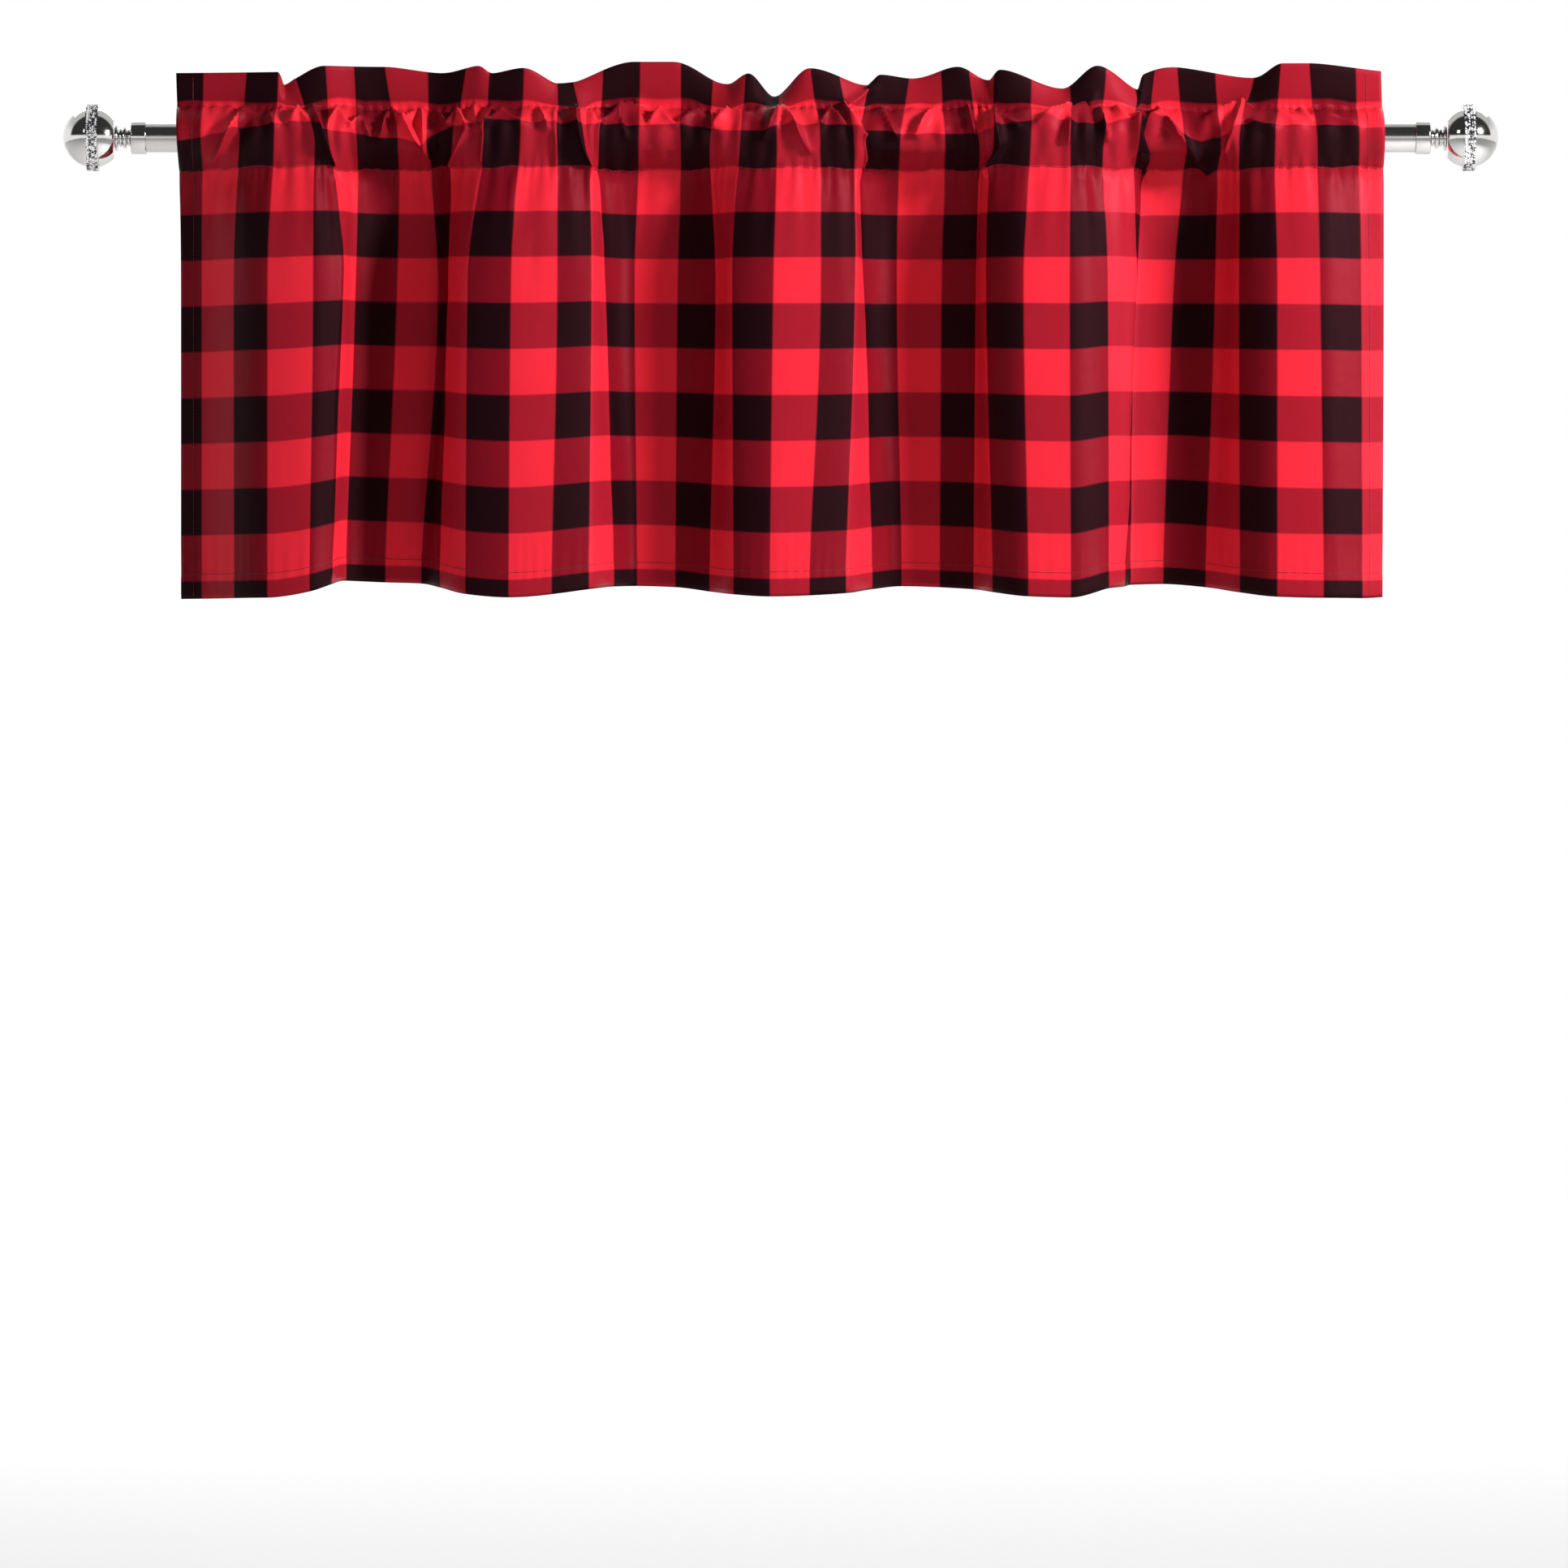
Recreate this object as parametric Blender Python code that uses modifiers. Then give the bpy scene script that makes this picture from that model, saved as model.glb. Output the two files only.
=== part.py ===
"""Gathered rod pocket valance in checked cloth, hung on a plain metal curtain rod.

The valance hangs in five soft pleats from a rod that has a ball finial at each end.
The cloth is one solid: a stand-up heading of two layers, a pocket of two layers round the rod,
the hanging sheet, and a turned hem. The rod and its finials are turned pieces.

Frame: metres, +Z up. The front faces -Y, +X runs along the rod, and the origin is the middle
of the rod's axis.
"""

import math

import bmesh
import bpy
import numpy as np

MM = 0.001

# Rod and finials
ROD_RADIUS = 12.2 * MM
ROD_HALF_LENGTH = 537.0 * MM
ROD_CHAMFER = 1.0 * MM
GAP = 0.3 * MM

COLLAR_RADIUS = 14.0 * MM
COLLAR_INNER_FACE = 527.5 * MM
COLLAR_OUTER_FACE = 540.0 * MM
COLLAR_BORE_RADIUS = ROD_RADIUS + GAP
COLLAR_CHAMFER = 1.2 * MM
COLLAR_LIP = 0.6 * MM

NECK_CORE_RADIUS = 5.0 * MM
NECK_START = COLLAR_OUTER_FACE + GAP
NECK_END = 554.0 * MM

BALL_RADIUS = 25.0 * MM
BALL_CENTRE = 571.8 * MM
BALL_SEAT = NECK_END + GAP
BAND_WIDTH = 10.5 * MM
BAND_INNER_RADIUS = 24.0 * MM
BAND_OUTER_RADIUS = 28.4 * MM
BAND_ROWS = 3
BAND_BEAD_RISE = 0.9 * MM
TURNED_STEPS = 26
BALL_INNER_STEPS = 6
BALL_OUTER_STEPS = 10
RING_TURNS = (0.0, 45.0, 135.0, 180.0)

# Neck rings, from the collar to the ball: where each stands, its width and its radius in mm
NECK_RINGS = (
    dict(middle=542.0, width=2.2, radius=7.2),
    dict(middle=545.8, width=3.4, radius=9.2),
    dict(middle=549.5, width=1.8, radius=7.8),
    dict(middle=552.6, width=2.4, radius=11.4),
)

# Cloth
CLOTH = 1.5 * MM
SEAM_HEIGHT = 25.0 * MM
STITCH_HEIGHT = -27.0 * MM
HEM_HEIGHT = -383.0 * MM
HEM_TURN = 20.0 * MM
COLUMNS_PER_CHECK = 2.6

# Heights at which the pleat table's three widthwise columns are read
HEADING_LEVEL = 47.0 * MM
POCKET_LEVEL = -10.0 * MM
MIDDLE_LEVEL = -119.0 * MM
HEM_LEVEL = -358.0 * MM

# Pocket: how far its layers stand off the rod's axis, how near their middles come to it where
# they rest on the rod, and how much of each pleat they keep
POCKET_FRONT = 14.0 * MM
POCKET_BACK = 14.0 * MM
ROD_CLEARANCE = 14.0 * MM
POCKET_FRONT_SHARE = 0.26
POCKET_BACK_SHARE = 0.10
SEAM_SHARE = 0.22
STITCH_SHARE = 0.62
DEEPEST = 48.0 * MM
HIGHEST = 46.0 * MM
HEADING_LEAN = 0.75
# The pleats open to their full depth over this share of the hanging sheet
OPENING_SHARE = 0.22

# Rows down the cloth in each zone
HEADING_ROWS = 2
POCKET_ROWS = 6
SHEET_ROWS = 6
HEM_ROWS = 1

# Pleats from left to right. check counts the cloth's checks from its left edge. pocket, middle and
# hem are places along the rod at those heights, forward is how far the pleat stands in front
# of the rod's axis, and rise lifts the hem there. All but check are in mm.
PLEATS = (
    dict(check=0.00, pocket=-501, middle=-497, hem=-497, forward=-26, rise=0),
    dict(check=0.53, pocket=-481, middle=-482, hem=-483, forward=-14, rise=0),
    dict(check=2.53, pocket=-420, middle=-425, hem=-425, forward=34, rise=0),
    dict(check=3.53, pocket=-387, middle=-387, hem=-390, forward=40, rise=5),
    dict(check=4.53, pocket=-373, middle=-364, hem=-373, forward=25, rise=11),
    dict(check=5.53, pocket=-352, middle=-354, hem=-362, forward=-12, rise=15),
    dict(check=6.53, pocket=-318, middle=-320, hem=-330, forward=-30, rise=14),
    dict(check=7.53, pocket=-292, middle=-286, hem=-300, forward=-29, rise=13),
    dict(check=8.53, pocket=-273, middle=-276, hem=-283, forward=7, rise=9),
    dict(check=9.53, pocket=-246, middle=-259, hem=-261, forward=38, rise=3),
    dict(check=10.53, pocket=-216, middle=-223, hem=-225, forward=46, rise=0),
    dict(check=12.53, pocket=-161, middle=-157, hem=-159, forward=34, rise=7),
    dict(check=13.53, pocket=-151, middle=-148, hem=-139, forward=-3, rise=10),
    dict(check=14.53, pocket=-118, middle=-122, hem=-120, forward=-30, rise=11),
    dict(check=15.53, pocket=-83, middle=-86, hem=-88, forward=-29, rise=10),
    dict(check=16.53, pocket=-59, middle=-54, hem=-59, forward=-12, rise=6),
    dict(check=17.53, pocket=-34, middle=-40, hem=-39, forward=23, rise=3),
    dict(check=18.53, pocket=-3, middle=-6, hem=-9, forward=34, rise=1),
    dict(check=20.53, pocket=59, middle=61, hem=54, forward=21, rise=4),
    dict(check=21.53, pocket=66, middle=68, hem=76, forward=-16, rise=8),
    dict(check=22.53, pocket=99, middle=97, hem=101, forward=-40, rise=11),
    dict(check=24.53, pocket=165, middle=163, hem=161, forward=-20, rise=8),
    dict(check=25.53, pocket=175, middle=171, hem=176, forward=17, rise=5),
    dict(check=26.53, pocket=207, middle=201, hem=205, forward=39, rise=1),
    dict(check=27.53, pocket=240, middle=239, hem=240, forward=41, rise=0),
    dict(check=28.53, pocket=267, middle=271, hem=272, forward=23, rise=8),
    dict(check=29.53, pocket=293, middle=294, hem=286, forward=-5, rise=10),
    dict(check=30.53, pocket=302, middle=296, hem=292, forward=-43, rise=12),
    dict(check=31.53, pocket=336, middle=329, hem=320, forward=-48, rise=13),
    dict(check=32.53, pocket=365, middle=363, hem=355, forward=-33, rise=10),
    dict(check=33.53, pocket=381, middle=381, hem=382, forward=0, rise=5),
    dict(check=34.53, pocket=410, middle=412, hem=412, forward=22, rise=1),
    dict(check=35.53, pocket=445, middle=447, hem=450, forward=26, rise=0),
    dict(check=36.53, pocket=480, middle=482, hem=483, forward=12, rise=0),
    dict(check=37.03, pocket=501, middle=501, hem=500, forward=6, rise=1),
)

# Heading from left to right: along is the place along the rod, and top is the height of its
# folded edge over the rod's axis, both in mm. It dips where the gathers pull it in.
HEADING = (
    dict(check=0.0, along=-503, top=53),
    dict(check=2.5, along=-418, top=53),
    dict(check=2.9, along=-413, top=43),
    dict(check=3.5, along=-403, top=48),
    dict(check=4.5, along=-379, top=58),
    dict(check=6.5, along=-330, top=58),
    dict(check=7.9, along=-281, top=53),
    dict(check=8.9, along=-252, top=58),
    dict(check=9.7, along=-239, top=52),
    dict(check=10.5, along=-214, top=56),
    dict(check=11.5, along=-186, top=44),
    dict(check=12.5, along=-173, top=45),
    dict(check=14.4, along=-121, top=62),
    dict(check=15.3, along=-90, top=62),
    dict(check=17.0, along=-44, top=44),
    dict(check=17.6, along=-27, top=52),
    dict(check=18.35, along=-6, top=34),
    dict(check=19.5, along=24, top=56),
    dict(check=21.5, along=72, top=44),
    dict(check=21.9, along=83, top=52),
    dict(check=22.6, along=109, top=49),
    dict(check=24.1, along=147, top=58),
    dict(check=25.3, along=173, top=47),
    dict(check=25.7, along=182, top=55),
    dict(check=27.3, along=234, top=40),
    dict(check=28.3, along=263, top=58),
    dict(check=29.5, along=297, top=40),
    dict(check=29.9, along=302, top=52),
    dict(check=31.4, along=327, top=58),
    dict(check=33.5, along=393, top=49),
    dict(check=34.6, along=417, top=60),
    dict(check=35.5, along=438, top=60),
    dict(check=37.03, along=499, top=54),
)
HEADING_MEAN_TOP = 52.0 * MM


def clear_scene():
    """Remove every object, so that the file holds the valance alone."""
    for obj in list(bpy.data.objects):
        bpy.data.objects.remove(obj, do_unlink=True)


def make_material(name, colour, roughness, metallic, coat=0.0):
    """Return a Principled material of one plain finish."""
    material = bpy.data.materials.new(name)
    material.use_nodes = True
    shader = material.node_tree.nodes["Principled BSDF"]
    shader.inputs["Base Color"].default_value = (*colour, 1.0)
    shader.inputs["Roughness"].default_value = roughness
    shader.inputs["Metallic"].default_value = metallic
    shader.inputs["Coat Weight"].default_value = coat
    material.diffuse_color = (*colour, 1.0)
    return material


def link(obj, collection, material):
    """Put an object into the part's collection with its own material."""
    collection.objects.link(obj)
    obj.data.materials.append(material)
    return obj


def turned(name, profile, collection, material, side):
    """Turn a closed or axis-to-axis profile of (place along the rod, radius) about the rod.

    The profile is drawn for the right-hand end and runs from the inner end outward. side is 1
    for the right-hand end of the rod and -1 for the left.
    """
    mesh = bpy.data.meshes.new(name)
    obj = bpy.data.objects.new(name, mesh)
    closed = all(radius > 0.0 for _, radius in profile)
    shape = bmesh.new()
    verts = [shape.verts.new((side * along, 0.0, radius)) for along, radius in profile]
    ends = verts[1:] + verts[:1] if closed else verts[1:]
    for first, second in zip(verts, ends):
        shape.edges.new((first, second))
    shape.to_mesh(mesh)
    shape.free()
    link(obj, collection, material)
    screw = obj.modifiers.new("Turn", "SCREW")
    screw.axis = "X"
    screw.angle = math.tau
    screw.steps = TURNED_STEPS
    screw.render_steps = TURNED_STEPS
    screw.use_merge_vertices = True
    screw.merge_threshold = 0.00001
    screw.use_normal_flip = side > 0
    mesh.shade_smooth()
    return obj


def rod_profile():
    """Return the rod's outline from its left end to its right."""
    return [
        (-ROD_HALF_LENGTH, 0.0),
        (-ROD_HALF_LENGTH, ROD_RADIUS - ROD_CHAMFER),
        (-ROD_HALF_LENGTH + ROD_CHAMFER, ROD_RADIUS),
        (ROD_HALF_LENGTH - ROD_CHAMFER, ROD_RADIUS),
        (ROD_HALF_LENGTH, ROD_RADIUS - ROD_CHAMFER),
        (ROD_HALF_LENGTH, 0.0),
    ]


def collar_profile():
    """Return the sleeve that caps the rod: bored from its inner face, closed at its outer one."""
    floor = ROD_HALF_LENGTH + GAP
    return [
        (floor, 0.0),
        (floor, COLLAR_BORE_RADIUS),
        (COLLAR_INNER_FACE, COLLAR_BORE_RADIUS),
        (COLLAR_INNER_FACE, COLLAR_RADIUS - COLLAR_LIP),
        (COLLAR_INNER_FACE + COLLAR_LIP, COLLAR_RADIUS),
        (COLLAR_OUTER_FACE - COLLAR_CHAMFER, COLLAR_RADIUS),
        (COLLAR_OUTER_FACE, COLLAR_RADIUS - COLLAR_CHAMFER),
        (COLLAR_OUTER_FACE, 0.0),
    ]


def neck_profile():
    """Return the turned neck: a slim core with rounded rings along it."""
    outline = [(NECK_START, 0.0), (NECK_START, NECK_CORE_RADIUS)]
    for ring in NECK_RINGS:
        middle = ring["middle"] * MM
        half = ring["width"] / 2 * MM
        rise = ring["radius"] * MM - NECK_CORE_RADIUS
        for turn in RING_TURNS:
            angle = math.radians(turn)
            radius = NECK_CORE_RADIUS + rise * math.sin(angle)
            outline.append((middle - half * math.cos(angle), radius))
    outline += [(NECK_END, NECK_CORE_RADIUS), (NECK_END, 0.0)]
    return outline


def ball_profile():
    """Return the ball, cut flat where it seats on the neck and grooved for its band."""
    groove_half = BAND_WIDTH / 2 + GAP
    groove_radius = BAND_INNER_RADIUS - GAP
    seat = BALL_CENTRE - BALL_SEAT
    groove_edge = math.sqrt(BALL_RADIUS**2 - groove_half**2)
    outline = [(BALL_SEAT, 0.0)]
    first = math.acos(seat / BALL_RADIUS)
    last = math.acos(groove_half / BALL_RADIUS)
    for step in range(BALL_INNER_STEPS + 1):
        angle = first + (last - first) * step / BALL_INNER_STEPS
        outline.append((BALL_CENTRE - BALL_RADIUS * math.cos(angle), BALL_RADIUS * math.sin(angle)))
    outline[-1] = (BALL_CENTRE - groove_half, groove_edge)
    outline.append((BALL_CENTRE - groove_half, groove_radius))
    outline.append((BALL_CENTRE + groove_half, groove_radius))
    outline.append((BALL_CENTRE + groove_half, groove_edge))
    for step in range(1, BALL_OUTER_STEPS + 1):
        angle = last * (1 - step / BALL_OUTER_STEPS)
        outline.append((BALL_CENTRE + BALL_RADIUS * math.cos(angle), BALL_RADIUS * math.sin(angle)))
    outline[-1] = (BALL_CENTRE + BALL_RADIUS, 0.0)
    return outline


def band_profile():
    """Return the band round the ball: a flat ring with a low bead for each row of stones."""
    half = BAND_WIDTH / 2
    bead = BAND_WIDTH / BAND_ROWS
    outline = [(BALL_CENTRE + half, BAND_INNER_RADIUS), (BALL_CENTRE - half, BAND_INNER_RADIUS)]
    for row in range(BAND_ROWS):
        start = BALL_CENTRE - half + row * bead
        outline.append((start, BAND_OUTER_RADIUS - BAND_BEAD_RISE))
        outline.append((start + bead * 0.3, BAND_OUTER_RADIUS))
        outline.append((start + bead * 0.7, BAND_OUTER_RADIUS))
    outline.append((BALL_CENTRE + half, BAND_OUTER_RADIUS - BAND_BEAD_RISE))
    return outline


def smooth_curve(knots, values, at):
    """Read a smooth curve through (knots, values) that never overshoots them."""
    knots = np.asarray(knots, float)
    values = np.asarray(values, float)
    step = np.diff(knots)
    slope = np.diff(values, axis=0) / step.reshape(-1, *[1] * (values.ndim - 1))
    tangent = np.zeros_like(values)
    tangent[0], tangent[-1] = slope[0], slope[-1]
    before, after = slope[:-1], slope[1:]
    same_way = before * after > 0
    total = np.where(same_way, before + after, 1.0)
    tangent[1:-1] = np.where(same_way, 2 * before * after / total, 0.0)
    at = np.clip(np.asarray(at, float), knots[0], knots[-1])
    cell = np.clip(np.searchsorted(knots, at, side="right") - 1, 0, len(step) - 1)
    wide = (slice(None),) + (None,) * (values.ndim - 1)
    width = step[cell][wide]
    part = ((at - knots[cell]) / step[cell])[wide]
    rise = values[cell + 1] - values[cell]
    ease = part * part * (3 - 2 * part)
    start = tangent[cell] * width * part * (1 - part) ** 2
    end = tangent[cell + 1] * width * part * part * (part - 1)
    return values[cell] + rise * ease + start + end


def column(table, name):
    """Return one named column of a table, in metres unless it counts checks."""
    scale = 1.0 if name == "check" else MM
    return np.array([row[name] for row in table]) * scale


def columns_across():
    """Return the checks at which the cloth is cut into columns, with every pleat row among them."""
    places = [0.0]
    knots = column(PLEATS, "check")
    for start, end in zip(knots[:-1], knots[1:]):
        count = max(1, round((end - start) * COLUMNS_PER_CHECK))
        places += [start + (end - start) * (step + 1) / count for step in range(count)]
    return np.array(places)


class Cloth:
    """The hung cloth's middle surface, read from the pleat and heading tables."""

    def __init__(self):
        self.checks = columns_across()
        knots = column(PLEATS, "check")
        read = {
            name: smooth_curve(knots, column(PLEATS, name), self.checks)
            for name in ("pocket", "middle", "hem", "forward", "rise")
        }
        heading_knots = column(HEADING, "check")
        self.top = smooth_curve(heading_knots, column(HEADING, "top"), self.checks)
        heading = smooth_curve(heading_knots, column(HEADING, "along"), self.checks)
        self.levels = (HEM_LEVEL, MIDDLE_LEVEL, POCKET_LEVEL, HEADING_LEVEL)
        self.along = np.array([read["hem"], read["middle"], read["pocket"], heading])
        self.forward = read["forward"]
        self.rise = read["rise"]
        self.fullness = (self.forward + DEEPEST) / (DEEPEST + HIGHEST)

    def places(self, height):
        """Return each column's place along the rod at this height over the rod's axis."""
        return smooth_curve(self.levels, self.along, [height])[0]

    def point_row(self, height, forward, lift=0.0):
        """Return a row of points at one nominal height."""
        heights = np.full_like(self.forward, height) + lift
        return np.stack([self.places(height), -forward, heights], axis=1)

    def seam_forward(self):
        """Return how far forward the seam over the pocket stands."""
        return self.forward * SEAM_SHARE

    def heading_row(self, share):
        """Return a row of the heading: share 0 is its folded top and 1 the seam under it."""
        heights = self.top + (SEAM_HEIGHT - self.top) * share
        lean = (self.top - HEADING_MEAN_TOP) * HEADING_LEAN * (1 - share)
        level = HEADING_LEVEL + (SEAM_HEIGHT - HEADING_LEVEL) * share
        row = self.point_row(level, self.seam_forward() + lean)
        row[:, 2] = heights
        return row

    def pocket_row(self, share, back):
        """Return a row of the pocket's front or back layer, from the seam (0) to the stitch (1)."""
        height = SEAM_HEIGHT + (STITCH_HEIGHT - SEAM_HEIGHT) * share
        straight = self.seam_forward() * (1 - share) + self.stitch_forward() * share
        spread = (DEEPEST + HIGHEST) * self.fullness
        if back:
            reach = -POCKET_BACK - (DEEPEST + HIGHEST - spread) * POCKET_BACK_SHARE
        else:
            reach = POCKET_FRONT + spread * POCKET_FRONT_SHARE
        forward = straight + (reach - straight) * math.sin(math.pi * share)
        clear_of_rod = math.sqrt(max(0.0, ROD_CLEARANCE**2 - height**2))
        forward = np.minimum(forward, -clear_of_rod) if back else np.maximum(forward, clear_of_rod)
        return self.point_row(height, forward)

    def stitch_forward(self):
        """Return how far forward the stitch line under the rod stands."""
        return self.forward * STITCH_SHARE

    def sheet_row(self, share):
        """Return a row of the hanging sheet, from the stitch (0) to the hem's edge (1)."""
        height = STITCH_HEIGHT + (HEM_HEIGHT - STITCH_HEIGHT) * share
        fall = min(1.0, share / OPENING_SHARE)
        opened = STITCH_SHARE + (1 - STITCH_SHARE) * fall * (2 - fall)
        return self.point_row(height, self.forward * opened, self.rise * share)


def normals_of(grid):
    """Return unit normals of a grid of points, facing the front."""
    across = np.gradient(grid, axis=1)
    down = np.gradient(grid, axis=0)
    normal = np.cross(across, down)
    normal /= np.linalg.norm(normal, axis=2, keepdims=True)
    return -normal


def build_cloth(collection, material):
    """Build the valance's cloth as one closed solid with an open pocket."""
    cloth = Cloth()
    sheet_length = STITCH_HEIGHT - HEM_HEIGHT
    turn_share = 1 - HEM_TURN / sheet_length
    heading = [cloth.heading_row(step / HEADING_ROWS) for step in range(HEADING_ROWS + 1)]
    pocket_shares = [step / POCKET_ROWS for step in range(1, POCKET_ROWS)]
    front = [cloth.pocket_row(share, back=False) for share in pocket_shares]
    back = [cloth.pocket_row(share, back=True) for share in pocket_shares]
    sheet = [cloth.sheet_row(turn_share * step / SHEET_ROWS) for step in range(SHEET_ROWS + 1)]
    hem_step = (1 - turn_share) / HEM_ROWS
    hem = [cloth.sheet_row(turn_share + hem_step * (step + 1)) for step in range(HEM_ROWS)]

    face = np.array(heading + front + sheet + hem)
    rear = np.array([heading[-1]] + back + [sheet[0]])
    face_normal = normals_of(face)
    rear_normal = normals_of(rear)
    seam = HEADING_ROWS
    stitch = HEADING_ROWS + POCKET_ROWS
    turned_up = stitch + SHEET_ROWS

    shape = bmesh.new()

    def add_rows(points):
        return [[shape.verts.new(point) for point in row] for row in points]

    ahead = np.full(len(face), CLOTH / 2)
    ahead[: seam + 1] = CLOTH
    ahead[stitch] = CLOTH
    behind = np.full(len(face), CLOTH / 2)
    behind[: seam + 1] = CLOTH
    behind[stitch] = CLOTH
    behind[turned_up + 1 :] = CLOTH * 1.5
    outer = add_rows(face + face_normal * ahead[:, None, None])
    inner = add_rows((face - face_normal * (CLOTH / 2))[seam + 1 : stitch])
    rear_inner = add_rows((rear + rear_normal * (CLOTH / 2))[1:-1])
    rear_outer = add_rows((rear - rear_normal * (CLOTH / 2))[1:-1])
    corner = add_rows(np.array([face[seam], face[stitch]]))
    behind_points = face - face_normal * behind[:, None, None]
    heading_back = add_rows(behind_points[: seam + 1])
    sheet_back = add_rows(behind_points[stitch:])
    crown = add_rows((face[:1] + np.array([0.0, 0.0, CLOTH])))[0]

    def skin(rows, flip):
        for upper, lower in zip(rows[:-1], rows[1:]):
            for i in range(len(upper) - 1):
                quad = (upper[i], lower[i], lower[i + 1], upper[i + 1])
                shape.faces.new(quad[::-1] if flip else quad)

    back_rows = heading_back + rear_outer + sheet_back
    skin([crown] + outer, flip=False)
    skin([crown] + back_rows, flip=True)
    skin([outer[-1], back_rows[-1]], flip=False)
    skin([corner[0]] + inner + [corner[1]], flip=True)
    skin([corner[0]] + rear_inner + [corner[1]], flip=False)

    for end in (0, -1):
        front_edge = [row[end] for row in [corner[0]] + inner + [corner[1]]]
        rear_edge = [row[end] for row in [corner[0]] + rear_inner + [corner[1]]]
        outer_edge = [row[end] for row in outer]
        back_edge = [row[end] for row in back_rows]
        sides = [(crown[end], outer_edge[0], back_edge[0])]
        for i in range(seam):
            joint = (corner[0][end],) if i == seam - 1 else ()
            sides.append((outer_edge[i], outer_edge[i + 1], *joint, back_edge[i + 1], back_edge[i]))
        for i in range(POCKET_ROWS):
            upper, lower = seam + i, seam + i + 1
            sides.append((outer_edge[upper], outer_edge[lower], front_edge[i + 1], front_edge[i]))
            sides.append((rear_edge[i], rear_edge[i + 1], back_edge[lower], back_edge[upper]))
        for i in range(stitch, len(outer_edge) - 1):
            joint = (corner[1][end],) if i == stitch else ()
            sides.append((outer_edge[i], outer_edge[i + 1], back_edge[i + 1], back_edge[i], *joint))
        for side in sides:
            shape.faces.new(side[::-1] if end == 0 else side)

    bmesh.ops.recalc_face_normals(shape, faces=shape.faces)
    bmesh.ops.triangulate(shape, faces=shape.faces)
    mesh = bpy.data.meshes.new("valance_cloth")
    shape.to_mesh(mesh)
    shape.free()
    mesh.shade_smooth()
    mesh.set_sharp_from_angle(angle=math.radians(50))
    return link(bpy.data.objects.new("valance_cloth", mesh), collection, material)


def build_finial(side, tag, collection, chrome, stones):
    """Build one end's collar, ringed neck, ball and stone band."""
    turned(f"collar_{tag}", collar_profile(), collection, chrome("collar", tag), side)
    turned(f"finial_neck_{tag}", neck_profile(), collection, chrome("neck", tag), side)
    turned(f"finial_ball_{tag}", ball_profile(), collection, chrome("ball", tag), side)
    turned(f"stone_band_{tag}", band_profile(), collection, stones(tag), side)


def main():
    """Build the rod, its finials and the cloth that hangs on it."""
    clear_scene()
    collection = bpy.data.collections.new("window_valance_on_curtain_rod")
    bpy.context.scene.collection.children.link(collection)

    def chrome(piece, tag):
        return make_material(f"polished_metal_{piece}_{tag}", (0.62, 0.62, 0.63), 0.12, 1.0)

    def stones(tag):
        return make_material(f"stone_band_{tag}", (0.75, 0.77, 0.82), 0.08, 0.0, coat=1.0)

    turned("curtain_rod", rod_profile(), collection, chrome("rod", "middle"), 1)
    for side, tag in ((-1, "left"), (1, "right")):
        build_finial(side, tag, collection, chrome, stones)
    red_cloth = make_material("checked_cloth", (0.36, 0.01, 0.02), 0.45, 0.0)
    build_cloth(collection, red_cloth)


main()
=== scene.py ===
"""Looks of a gathered window valance in red and black checks, hung on a polished curtain rod.

The cloth is one thin sheet that follows the pleats, pocket and heading of the frame's solid,
with the small pinches of a gathered rod pocket placed one by one. The rod, collars, ringed necks,
balls and stone bands are modelled at the frame's sizes.
"""

import enum
import logging
import math
from dataclasses import dataclass
from typing import Any, Callable, Mapping, NamedTuple, Sequence

import bmesh
import bpy
import numpy as np
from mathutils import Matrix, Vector


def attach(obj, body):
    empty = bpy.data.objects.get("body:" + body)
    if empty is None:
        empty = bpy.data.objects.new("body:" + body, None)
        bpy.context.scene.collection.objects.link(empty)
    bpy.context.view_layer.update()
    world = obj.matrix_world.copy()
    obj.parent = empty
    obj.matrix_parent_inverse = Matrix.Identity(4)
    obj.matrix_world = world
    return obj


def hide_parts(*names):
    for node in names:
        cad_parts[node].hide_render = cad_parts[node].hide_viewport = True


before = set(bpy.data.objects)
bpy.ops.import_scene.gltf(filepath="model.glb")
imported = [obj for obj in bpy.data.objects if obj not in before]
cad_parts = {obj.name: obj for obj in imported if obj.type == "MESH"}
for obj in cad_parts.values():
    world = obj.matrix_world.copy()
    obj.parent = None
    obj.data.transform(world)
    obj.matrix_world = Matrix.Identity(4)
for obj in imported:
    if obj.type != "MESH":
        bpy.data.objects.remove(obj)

LOG = logging.getLogger("window_valance")
MM = 0.001
Outline = Sequence[tuple[float, float]]
Point = tuple[float, float, float]


class Side(enum.Enum):
    """The two ends of the rod, as signs along X."""

    LEFT = -1
    RIGHT = 1

    @property
    def tag(self) -> str:
        """Return the word that ends the names of this end's pieces."""
        return self.name.lower()


class Pleat(NamedTuple):
    """One landmark of a pleat: its check, its places along the rod, its depth and the hem's lift."""

    check: float
    pocket: float
    middle: float
    hem: float
    forward: float
    rise: float


class HeadingFold(NamedTuple):
    """One landmark of the heading: its check, its place along the rod and its top's height."""

    check: float
    along: float
    top: float


class RowEdge(NamedTuple):
    """How high the second dark row of checks begins on the pocket's front, at one check across."""

    check: float
    height: float


class Crease(NamedTuple):
    """A soft ridge between two places on the front of the gathers, in mm from the rod's middle."""

    along: float
    height: float
    end_along: float
    end_height: float
    rise: float
    half_width: float


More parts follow.
